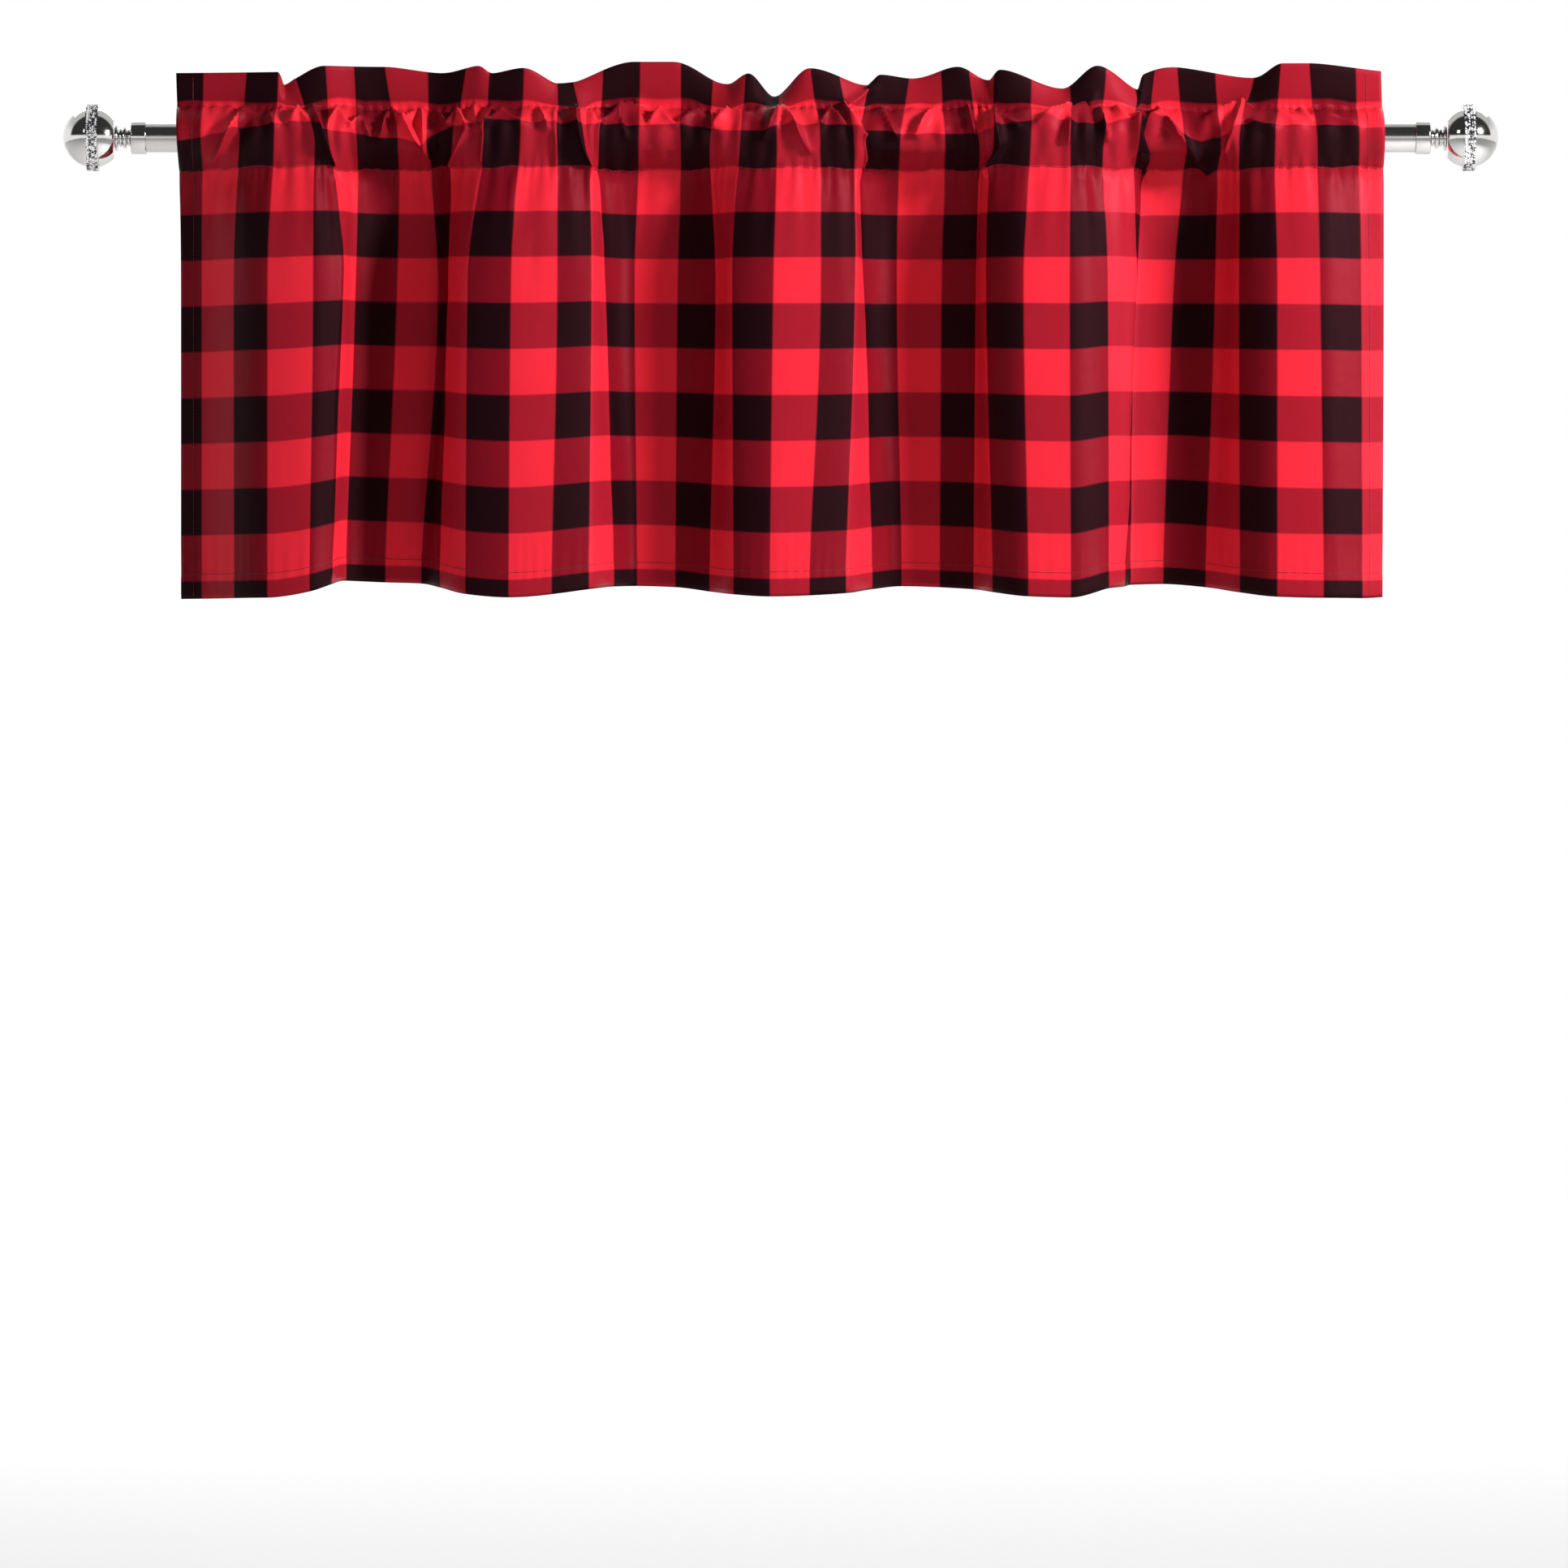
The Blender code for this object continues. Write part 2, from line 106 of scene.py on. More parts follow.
PLEATS = tuple(Pleat(*row) for row in (
    (0.00, -501, -500, -500, -22, 0), (0.53, -481, -482, -482, -12, 0), (2.53, -420, -425, -425, 34, 0),
    (3.53, -387, -387, -390, 40, 5), (4.53, -373, -364, -373, 25, 11),
    (5.53, -352, -354, -362, -12, 15), (6.53, -318, -320, -330, -30, 14),
    (7.53, -292, -286, -300, -29, 13), (8.53, -273, -276, -283, 7, 9), (9.53, -246, -259, -261, 38, 3),
    (10.53, -216, -223, -225, 46, 0), (12.53, -161, -157, -159, 34, 7),
    (13.53, -151, -148, -139, -3, 10), (14.53, -118, -122, -120, -30, 11),
    (15.53, -83, -86, -88, -29, 10), (16.53, -59, -54, -59, -12, 6), (17.53, -34, -40, -39, 23, 3),
    (18.53, -3, -6, -9, 34, 1), (20.53, 59, 61, 54, 21, 4), (21.53, 66, 68, 76, -16, 8),
    (22.53, 99, 97, 101, -40, 11), (24.53, 165, 163, 161, -20, 8), (25.53, 175, 171, 176, 17, 5),
    (26.53, 207, 201, 205, 39, 1), (27.53, 240, 239, 240, 41, 0), (28.53, 267, 271, 272, 23, 8),
    (29.53, 293, 294, 286, -5, 10), (30.53, 302, 296, 292, -43, 12), (31.53, 336, 329, 320, -48, 13),
    (32.53, 365, 363, 355, -33, 10), (33.53, 381, 381, 382, 0, 5), (34.53, 410, 412, 412, 22, 1),
    (35.53, 445, 447, 450, 26, 0), (36.53, 480, 482, 483, 12, 0), (37.03, 501, 501, 500, 6, 1),
))

HEADING = tuple(HeadingFold(*row) for row in (
    (0.0, -503, 53), (0.53, -480, 53), (2.5, -418, 53), (2.9, -413, 43), (3.5, -403, 48),
    (4.5, -379, 58), (6.5, -330, 58), (7.9, -281, 53), (8.9, -252, 58), (9.7, -239, 52),
    (10.5, -214, 56), (11.5, -186, 44), (12.5, -173, 45), (14.4, -121, 62), (15.3, -90, 62),
    (17.0, -44, 44), (17.6, -27, 52), (18.35, -6, 34), (19.5, 24, 56), (21.5, 72, 44), (21.9, 83, 52),
    (22.6, 109, 49), (24.1, 147, 58), (25.3, 173, 47), (25.7, 182, 55), (27.3, 234, 40),
    (28.3, 263, 58), (29.5, 297, 40), (29.9, 302, 52), (31.4, 327, 58), (33.5, 393, 49),
    (34.6, 417, 60), (35.5, 438, 60), (37.03, 499, 54),
))

ROW_EDGES = tuple(RowEdge(*row) for row in (
    (0.25, -3), (1.0, 3), (2.0, 8), (3.0, 10), (5.0, 3), (6.0, 0), (7.0, -4), (8.0, 3), (9.0, 10),
    (10.0, 11.5), (13.0, 9), (15.0, 9), (16.0, 8), (17.0, 4), (18.0, 4), (19.0, 10), (20.0, 8),
    (22.0, 4.5), (23.0, 2), (24.0, 2), (26.0, 9.5), (27.0, 13.5), (28.0, 10), (30.0, 14.5), (31.0, 13),
    (32.0, -3), (33.0, 3.5), (34.0, 9), (36.8, 6.7),
))

# The gathers' pinches, from left to right. A negative rise is a trough.
PINCHES = tuple(Crease(*row) for row in (
    (-443, 22, -472, -18, 5.0, 4.5), (-440, 14, -455, -10, -3.0, 6.0), (-425, 18, -420, 8, 2.5, 4.0),
    (-406, 12, -400, 20, 4.0, 4.5), (-400, 20, -392, 9, 4.0, 4.5), (-389, 23, -373, -22, 6.0, 4.5),
    (-374, 12, -370, 19, 3.5, 3.5), (-370, 19, -358, 8, 4.0, 3.5), (-358, 8, -349, 16, 3.5, 3.5),
    (-347, 14, -341, -1, 3.0, 3.5), (-328, 17, -333, 0, 4.0, 3.5), (-323, 21, -291, -14, 6.0, 4.5),
    (-302, 20, -316, 10, 4.0, 3.5), (-298, 20, -295, -6, 4.0, 3.5), (-285, 20, -276, 9, 3.5, 3.5),
    (-276, 9, -270, 18, 3.5, 3.5), (-267, 20, -260, 6, 4.5, 3.5), (-254, 22, -251, 6, 4.0, 3.5),
    (-240, 22, -247, 6, 4.5, 3.5), (-263, 2, -275, -24, 4.0, 4.0), (-246, 2, -248, -20, 3.5, 3.5),
    (-243, 9, -231, 18, 4.0, 3.5), (-231, 18, -217, 11, 3.5, 3.5), (-200, 20, -194, 6, 4.0, 3.5),
    (-187, 18, -186, -24, 3.5, 4.0), (-175, 22, -167, 12, 4.0, 3.5), (-172, 16, -159, -26, 6.0, 4.5),
    (-171, 14, -163, 20, 3.0, 3.5), (-163, 20, -153, 10, 4.0, 3.5), (-148, 12, -119, 29, 4.5, 4.5),
    (-135, 22, -128, -2, 3.5, 3.5), (-109, 12, -101, 20, 4.0, 3.5), (-101, 20, -88, 9, 4.0, 3.5),
    (-83, 11, -68, 20, 4.0, 4.0), (-58, 21, -55, 6, 3.5, 3.5), (-53, 9, -43, 20, 4.5, 4.0),
    (-43, 20, -27, 17, 3.0, 3.5), (-14, -2, -3, 20, 5.0, 4.0), (3, 22, 24, -12, 5.0, 4.5),
    (33, 9, 40, 20, 4.0, 3.5), (40, 20, 51, 9, 4.0, 3.5), (53, 21, 63, 2, 6.0, 4.5),
    (63, 2, 64, -26, 5.0, 4.5), (51, 24, 76, 42, 4.0, 4.5), (82, 22, 96, 0, 4.5, 4.5),
    (128, 22, 111, 2, 5.0, 5.0), (155, 22, 162, 2, 4.5, 4.0), (177, 20, 183, -6, 5.0, 4.0),
    (183, -6, 171, -27, 5.0, 4.0), (184, 17, 196, 8, 3.5, 3.5), (213, 11, 240, 23, 5.0, 4.5),
    (240, 12, 238, -4, 3.5, 3.5), (244, 20, 261, 31, 4.0, 4.5), (264, 20, 271, -3, 4.5, 4.0),
    (278, 21, 289, 11, 4.0, 3.5), (293, 16, 300, -28, 6.0, 4.5), (293, 12, 315, 15, 4.5, 4.5),
    (313, 21, 358, -27, 6.0, 5.5), (354, 14, 385, 25, 5.0, 6.5), (385, 21, 371, -10, 5.0, 5.0),
    (388, 11, 407, 7, 4.0, 4.0), (414, 19, 424, 14, 2.5, 3.0), (431, 21, 439, 13, 3.0, 3.0),
    (444, 18, 476, 9, 3.5, 5.0),
))

# The edges and hollows of the hanging folds, chained from the stitching down.
FOLD_EDGES = tuple(Crease(*row) for row in (
    (-364, -29, -362, -57, 3.5, 4.5), (-362, -57, -371, -217, 3.5, 4.5),
    (-371, -217, -373, -364, 3.0, 4.5), (-315, -22, -305, -45, 1.8, 5.0),
    (-281, -24, -281, -135, -4.5, 6.5), (-281, -135, -297, -331, -4.5, 7.5),
    (-274, -60, -278, -217, 2.5, 4.0), (-222, -30, -223, -62, 3.0, 4.0),
    (-203, -37, -218, -70, -2.5, 8.0), (-218, -70, -200, -98, -2.5, 8.0),
    (-161, -22, -154, -52, 3.5, 4.0), (-154, -52, -148, -104, 3.0, 4.0),
    (-148, -104, -140, -250, 2.8, 4.0), (-73, -24, -86, -60, -4.0, 8.0), (-56, -24, -46, -60, 2.5, 6.0),
    (-5, -30, -12, -70, -2.0, 8.0), (62, -22, 60, -60, 3.0, 4.0), (60, -60, 69, -158, 2.8, 4.0),
    (69, -158, 72, -250, 2.5, 4.0), (136, -27, 132, -64, -4.0, 8.0), (170, -24, 167, -96, 3.0, 3.8),
    (167, -96, 165, -170, 2.5, 3.8), (221, -30, 201, -72, -2.0, 10.0), (245, -30, 253, -56, 2.2, 5.0),
    (257, -27, 267, -60, -3.0, 6.0), (299, -27, 298, -73, 3.5, 4.5), (298, -73, 291, -152, 3.5, 4.5),
    (291, -152, 287, -250, 3.2, 4.5), (287, -250, 290, -364, 3.0, 4.5),
    (373, -27, 368, -152, -3.5, 9.0), (368, -152, 362, -315, -3.0, 10.0),
    (385, -30, 394, -62, 2.8, 6.0), (436, -28, 440, -60, 1.8, 6.0),
))


class Term:
    """A shader socket that takes part in Python arithmetic by adding Math nodes."""

    def __init__(self, graph: "Graph", socket: bpy.types.NodeSocket) -> None:
        """Keep the socket and the graph that it belongs to."""
        self.graph = graph
        self.socket = socket

    def maths(self, operation: str, *others: Any, clamp: bool = False) -> "Term":
        """Return the result of a Math node that starts with this socket, held to 0 to 1 if clamped."""
        values = dict(enumerate((self, *others)))
        settings = {"operation": operation, "use_clamp": clamp}
        return Term(self.graph, self.graph.node("ShaderNodeMath", settings, values).outputs[0])

    def __add__(self, other: Any) -> "Term":
        """Return self + other."""
        return self.maths("ADD", other)

    __radd__ = __add__

    def __mul__(self, other: Any) -> "Term":
        """Return self * other."""
        return self.maths("MULTIPLY", other)

    __rmul__ = __mul__

    def __sub__(self, other: Any) -> "Term":
        """Return self - other."""
        return self.maths("SUBTRACT", other)

    def __rsub__(self, other: float) -> "Term":
        """Return other - self."""
        return self * -1.0 + other

    def sine(self) -> "Term":
        """Return the sine of this value."""
        return self.maths("SINE")

    def held(self) -> "Term":
        """Return this value held between 0 and 1."""
        return self.maths("ADD", 0.0, clamp=True)


class Graph:
    """The node tree of a material or a world, with the calls that add and join its nodes."""

    def __init__(self, name: str, world: bool = False) -> None:
        """Make a material, or a world, of this name and keep its main shader."""
        self.owner = (bpy.data.worlds if world else bpy.data.materials).new(name)
        self.owner.use_nodes = True
        self.tree = self.owner.node_tree
        self.shader = self.tree.nodes["Background" if world else "Principled BSDF"]

    def feed(self, socket: bpy.types.NodeSocket, value: Any) -> None:
        """Link a term or a socket to this socket, or set a plain value on it."""
        if isinstance(value, Term):
            self.tree.links.new(value.socket, socket)
        elif isinstance(value, bpy.types.NodeSocket):
            self.tree.links.new(value, socket)
        else:
            socket.default_value = value

    def node(
        self, kind: str, settings: Mapping[str, Any] | None = None, sockets: Mapping[Any, Any] | None = None
    ) -> bpy.types.Node:
        """Add a node, set it and feed its sockets.

        Args:
            kind: the node's type.
            settings: its properties, set first.
            sockets: the values, terms or sockets of its inputs, by name or number.

        Returns:
            The new node.
        """
        node = self.tree.nodes.new(kind)
        for name, value in (settings or {}).items():
            setattr(node, name, value)
        for name, value in (sockets or {}).items():
            self.feed(node.inputs[name], value)
        return node

    def dress(self, sockets: Mapping[str, Any]) -> Any:
        """Feed the main shader's sockets and return the material or world."""
        for name, value in sockets.items():
            self.feed(self.shader.inputs[name], value)
        return self.owner

    def blend(self, factor: Any, first: Any, second: Any) -> bpy.types.NodeSocket:
        """Mix two colours and return the result's socket."""
        mix = self.node("ShaderNodeMix", {"data_type": "RGBA"}, {0: factor, 6: first, 7: second})
        return mix.outputs[2]

    def noise(self, vector: Any, scale: float, detail: float = 2.0) -> Term:
        """Return a noise value read at a vector."""
        sockets = {"Vector": vector, "Scale": scale, "Detail": detail}
        return Term(self, self.node("ShaderNodeTexNoise", None, sockets).outputs["Fac"])

    def object_place(self) -> bpy.types.NodeSocket:
        """Return the piece's own coordinates."""
        return self.node("ShaderNodeTexCoord").outputs["Object"]

    def bump(self, height: Term, distance: float, strength: float = 1.0) -> bpy.types.NodeSocket:
        """Return a normal roughened by a height, with the height's full range in metres."""
        sockets = {"Height": height, "Distance": distance, "Strength": strength}
        return self.node("ShaderNodeBump", None, sockets).outputs["Normal"]


@dataclass(frozen=True)
class CheckedClothFinish:
    """Smooth satin-faced cloth in buffalo checks, drawn on the cloth's own UV map."""

    red: tuple[float, float, float] = (0.780, 0.0210, 0.0390)
    red_over_black: tuple[float, float, float] = (0.325, 0.0090, 0.0200)
    black_over_red: tuple[float, float, float] = (0.205, 0.0042, 0.0115)
    black: tuple[float, float, float] = (0.0075, 0.0014, 0.0025)
    sheen_colour: tuple[float, float, float] = (1.0, 0.30, 0.38)
    edge_softness: float = 0.022
    roughness: float = 0.41
    black_roughness: float = 0.22
    threads_per_check: float = 52.0

    def build(self) -> bpy.types.Material:
        """Return the cloth's material."""
        graph = Graph("checked_satin_cloth")
        uv = graph.node("ShaderNodeUVMap", {"uv_map": Cloth.UV_NAME}).outputs["UV"]
        parts = graph.node("ShaderNodeSeparateXYZ", None, {0: uv})
        across = Term(graph, parts.outputs[0]) * Cloth.UV_CHECKS_ACROSS
        down = Term(graph, parts.outputs[1]) * Cloth.UV_CHECKS_DOWN - Cloth.UV_FIRST_CHECK
        sharpness = 0.5 / math.sin(math.pi * self.edge_softness)
        column_wave = ((across + (1 - Cloth.FIRST_COLUMN)) * math.pi).sine()
        row_wave = ((down + (1 - Cloth.FIRST_ROW)) * math.pi).sine()
        red_column = (0.5 - column_wave * sharpness).held()
        red_row = (0.5 - row_wave * sharpness).held()
        dark = graph.blend(red_row, (*self.black, 1), (*self.black_over_red, 1))
        bright = graph.blend(red_row, (*self.red_over_black, 1), (*self.red, 1))
        checks = graph.blend(red_column, dark, bright)
        streak_place = graph.node("ShaderNodeCombineXYZ", None, {0: across * 9.0, 1: down * 0.7})
        streaks = graph.noise(streak_place.outputs[0], 1.0, 3.0)
        cloudy = graph.noise(graph.object_place(), 18.0)
        tone = (streaks - 0.5) * 0.07 + (cloudy - 0.5) * 0.10 + 1.0
        blackness = (1.0 - red_column) * (1.0 - red_row)
        shades = graph.node("ShaderNodeCombineColor", None, {0: tone, 1: tone, 2: tone})
        settings = {"data_type": "RGBA", "blend_type": "MULTIPLY"}
        colour = graph.node("ShaderNodeMix", settings, {0: 1.0, 6: checks, 7: shades.outputs[0]})
        turn = math.tau * self.threads_per_check
        twill = ((across + down) * turn).sine() * 0.5 + 0.5
        crumple = graph.noise(graph.object_place(), 75.0, 3.0)
        height = twill * 0.10 + crumple * 0.90
        return graph.dress(
            {
                "Base Color": colour.outputs[2],
                "Roughness": (streaks - 0.5) * 0.12 + blackness * self.black_roughness + self.roughness,
                "Normal": graph.bump(height, 0.0006, 0.55),
                "Specular IOR Level": 0.14,
                "Specular Tint": (*self.sheen_colour, 1),
            }
        )


@dataclass(frozen=True)
class ThreadFinish:
    """Dark red sewing thread with a twist."""

    colour: tuple[float, float, float] = (0.11, 0.004, 0.008)

    def build(self) -> bpy.types.Material:
        """Return the thread's material."""
        graph = Graph("sewing_thread")
        mottle = graph.noise(graph.object_place(), 900.0)
        colour = graph.blend(mottle, (*self.colour, 1), (*(c * 1.5 for c in self.colour), 1))
        normal = graph.bump(mottle, 0.0002, 0.6)
        return graph.dress({"Base Color": colour, "Roughness": mottle * 0.2 + 0.38, "Normal": normal})


@dataclass(frozen=True)
class PolishedMetalFinish:
    """Polished plated metal with faint wipe marks."""

    name: str
    colour: tuple[float, float, float] = (0.80, 0.79, 0.78)
    roughness: float = 0.07

    def build(self) -> bpy.types.Material:
        """Return the metal's material."""
        graph = Graph(self.name)
        place = graph.object_place()
        stretch = graph.node("ShaderNodeMapping", None, {"Vector": place, "Scale": (6.0, 160.0, 160.0)})
        wiped = graph.noise(stretch.outputs[0], 3.0, 4.0)
        clouds = graph.noise(place, 45.0)
        dulled = (*(c * 0.90 for c in self.colour), 1)
        return graph.dress(
            {
                "Base Color": graph.blend(clouds, (*self.colour, 1), dulled),
                "Metallic": 1.0,
                "Roughness": wiped * 0.06 + clouds * 0.03 + self.roughness,
                "Normal": graph.bump(wiped, 0.00004, 0.25),
            }
        )


@dataclass(frozen=True)
class StoneFinish:
    """Clear cut glass stones, their glints and dark reflections painted as a random white and near-black
    speckle.
    """

    # The white colour is the painted glint and the near-black one is the painted dark reflection.
    colour: tuple[float, float, float] = (1.0, 1.0, 1.0)
    smoke: tuple[float, float, float] = (0.010, 0.010, 0.022)

    def build(self) -> bpy.types.Material:
        """Return the stones' material."""
        graph = Graph("cut_stones")
        # Noise spreads painted glints and painted dark reflections over the stones; the metallic share
        # follows the painted glints.
        painted_glint_speckle = graph.noise(graph.object_place(), 340.0, 1.0)
        painted_glint_mask = ((painted_glint_speckle - 0.5) * 12.0 + 0.45).held()
        colour = graph.blend(painted_glint_mask, (*self.smoke, 1), (*self.colour, 1))
        values = {"Base Color": colour, "Metallic": painted_glint_mask * 0.35, "Roughness": 0.16}
        return graph.dress({**values, "Coat Weight": 0.35, "Coat Roughness": 0.04})


@dataclass(frozen=True)
class FloorFinish:
    """Plain pale studio floor."""

    colour: tuple[float, float, float] = (0.92, 0.92, 0.92)

    def build(self) -> bpy.types.Material:
        """Return the floor's material."""
        graph = Graph("pale_floor")
        return graph.dress({"Base Color": (*self.colour, 1), "Roughness": 0.85})


class Bench:
    """The modelling calls that the pieces share."""

    @staticmethod
    def deselect() -> None:
        """Leave edit mode and deselect everything."""
        if bpy.context.mode != "OBJECT":
            bpy.ops.object.mode_set(mode="OBJECT")
        bpy.ops.object.select_all(action="DESELECT")

    @classmethod
    def pick(cls, piece: bpy.types.Object) -> None:
        """Select one piece alone and make it active."""
        cls.deselect()
        piece.select_set(True)
        bpy.context.view_layer.objects.active = piece

    @classmethod
    def place_in_mesh(cls, piece: bpy.types.Object) -> None:
        """Move a piece's place, turn and scale into its mesh."""
        cls.pick(piece)
        bpy.ops.object.transform_apply(location=True, rotation=True, scale=True)

    @classmethod
    def round_edges(cls, piece: bpy.types.Object, angle: float = 35.0) -> None:
        """Shade a piece smooth except over edges sharper than this many degrees."""
        cls.pick(piece)
        bpy.ops.object.shade_smooth_by_angle(angle=math.radians(angle))

    @classmethod
    def cylinder(cls, vertices: int, radius: float, depth: float, lying: bool = True) -> bpy.types.Object:
        """Add a cylinder to model from, lying along X or standing."""
        cls.deselect()
        turn = (0, math.pi / 2, 0) if lying else (0, 0, 0)
        bpy.ops.mesh.primitive_cylinder_add(vertices=vertices, radius=radius, depth=depth, rotation=turn)
        piece = bpy.context.active_object
        cls.place_in_mesh(piece)
        return piece

    @staticmethod
    def choose(piece: bpy.types.Object, kind: str, wanted: Callable[[Any], bool]) -> None:
        """Enter edit mode with only the wanted faces or edges selected."""
        bpy.ops.object.mode_set(mode="EDIT")
        bpy.ops.mesh.select_all(action="DESELECT")
        shape = bmesh.from_edit_mesh(piece.data)
        for item in getattr(shape, kind):
            item.select = wanted(item)
        bmesh.update_edit_mesh(piece.data)

    @classmethod
    def from_mesh(cls, name: str, mesh: bpy.types.Mesh) -> bpy.types.Object:
        """Link a new object that holds this mesh."""
        piece = bpy.data.objects.new(name, mesh)
        bpy.context.scene.collection.objects.link(piece)
        return piece

    @classmethod
    def turn(cls, name: str, outline: Outline, steps: int = 96, closed: bool = False) -> bpy.types.Object:
        """Spin an outline about the rod's axis.

        Args:
            name: the new piece's name.
            outline: points of (place along the rod, radius) in metres.
            steps: how many faces go round.
            closed: whether the outline joins its own start, as a ring's does.

        Returns:
            The turned piece.
        """
        mesh = bpy.data.meshes.new(name)
        points = [(along, 0.0, radius) for along, radius in outline]
        edges = [(i, i + 1) for i in range(len(points) - 1)]
        if closed:
            edges.append((len(points) - 1, 0))
        mesh.from_pydata(points, edges, [])
        piece = cls.from_mesh(name, mesh)
        cls.pick(piece)
        bpy.ops.object.mode_set(mode="EDIT")
        bpy.ops.mesh.select_all(action="SELECT")
        bpy.ops.mesh.spin(steps=steps, angle=math.tau, center=(0, 0, 0), axis=(1, 0, 0))
        bpy.ops.mesh.select_all(action="SELECT")
        bpy.ops.mesh.remove_doubles(threshold=0.000002)
        bpy.ops.mesh.normals_make_consistent(inside=False)
        bpy.ops.object.mode_set(mode="OBJECT")
        cls.round_edges(piece)
        return piece

    @classmethod
    def copies(
        cls, name: str, model: bpy.types.Object, places: Sequence[np.ndarray], smooth: bool
    ) -> bpy.types.Object:
        """Copy a small model to many places as one piece, and remove the model.

        Args:
            name: the new piece's name.
            model: the small piece that repeats.
            places: a 4 by 4 matrix for each copy.
            smooth: whether the copies are shaded smooth.

        Returns:
            The piece that holds all the copies.
        """
        points = np.array([vertex.co[:] for vertex in model.data.vertices])
        faces = [list(polygon.vertices) for polygon in model.data.polygons]
        all_points = np.concatenate([points @ place[:3, :3].T + place[:3, 3] for place in places])
        all_faces = [[i + len(points) * n for i in face] for n in range(len(places)) for face in faces]
        mesh = bpy.data.meshes.new(name)
        mesh.from_pydata(all_points.tolist(), [], all_faces)
        if smooth:
            mesh.shade_smooth()
        bpy.data.objects.remove(model, do_unlink=True)
        return cls.from_mesh(name, mesh)

    @staticmethod
    def dress(piece: bpy.types.Object, material: bpy.types.Material, slot: str) -> None:
        """Give a piece its material, ride it on the part and log it."""
        piece.data.materials.clear()
        piece.data.materials.append(material)
        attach(piece, "root")
        LOG.info("%s: %d faces", piece.name, len(piece.data.polygons))


def smooth_curve(knots: Sequence[float], values: np.ndarray, at: np.ndarray) -> np.ndarray:
    """Read a smooth curve that never overshoots its landmarks.

    Args:
        knots: the landmarks' places, rising.
        values: a value, or a row of values, at each landmark.
        at: the places to read.

    Returns:
        The values there.
    """
    knots = np.asarray(knots, float)
    values = np.asarray(values, float)
    step = np.diff(knots)
    wide = (slice(None),) + (None,) * (values.ndim - 1)
    slope = np.diff(values, axis=0) / step[wide]
    tangent = np.zeros_like(values)
    tangent[0], tangent[-1] = slope[0], slope[-1]
    before, after = slope[:-1], slope[1:]
    same_way = before * after > 0
    total = np.where(same_way, before + after, 1.0)
    tangent[1:-1] = np.where(same_way, 2 * before * after / total, 0.0)
    at = np.clip(np.asarray(at, float), knots[0], knots[-1])
    cell = np.clip(np.searchsorted(knots, at, side="right") - 1, 0, len(step) - 1)
    width = step[cell][wide]
    part = ((at - knots[cell]) / step[cell])[wide]
    rise = values[cell + 1] - values[cell]
    ease = part * part * (3 - 2 * part)
    start = tangent[cell] * width * part * (1 - part) ** 2
    end = tangent[cell + 1] * width * part * part * (part - 1)
    return values[cell] + rise * ease + start + end


def normals_of(grid: np.ndarray) -> np.ndarray:
    """Return the unit normals of a grid of points that runs down and to the right, facing the front."""
    normal = np.cross(np.gradient(grid, axis=0), np.gradient(grid, axis=1))
    return normal / np.linalg.norm(normal, axis=2, keepdims=True)


def mound(down: np.ndarray, line: float, reach: Any) -> np.ndarray:
    """Return a soft mound of height 1 along a line, given in checks down, with this reach."""
    return np.exp(-(((down - line) / reach) ** 2))


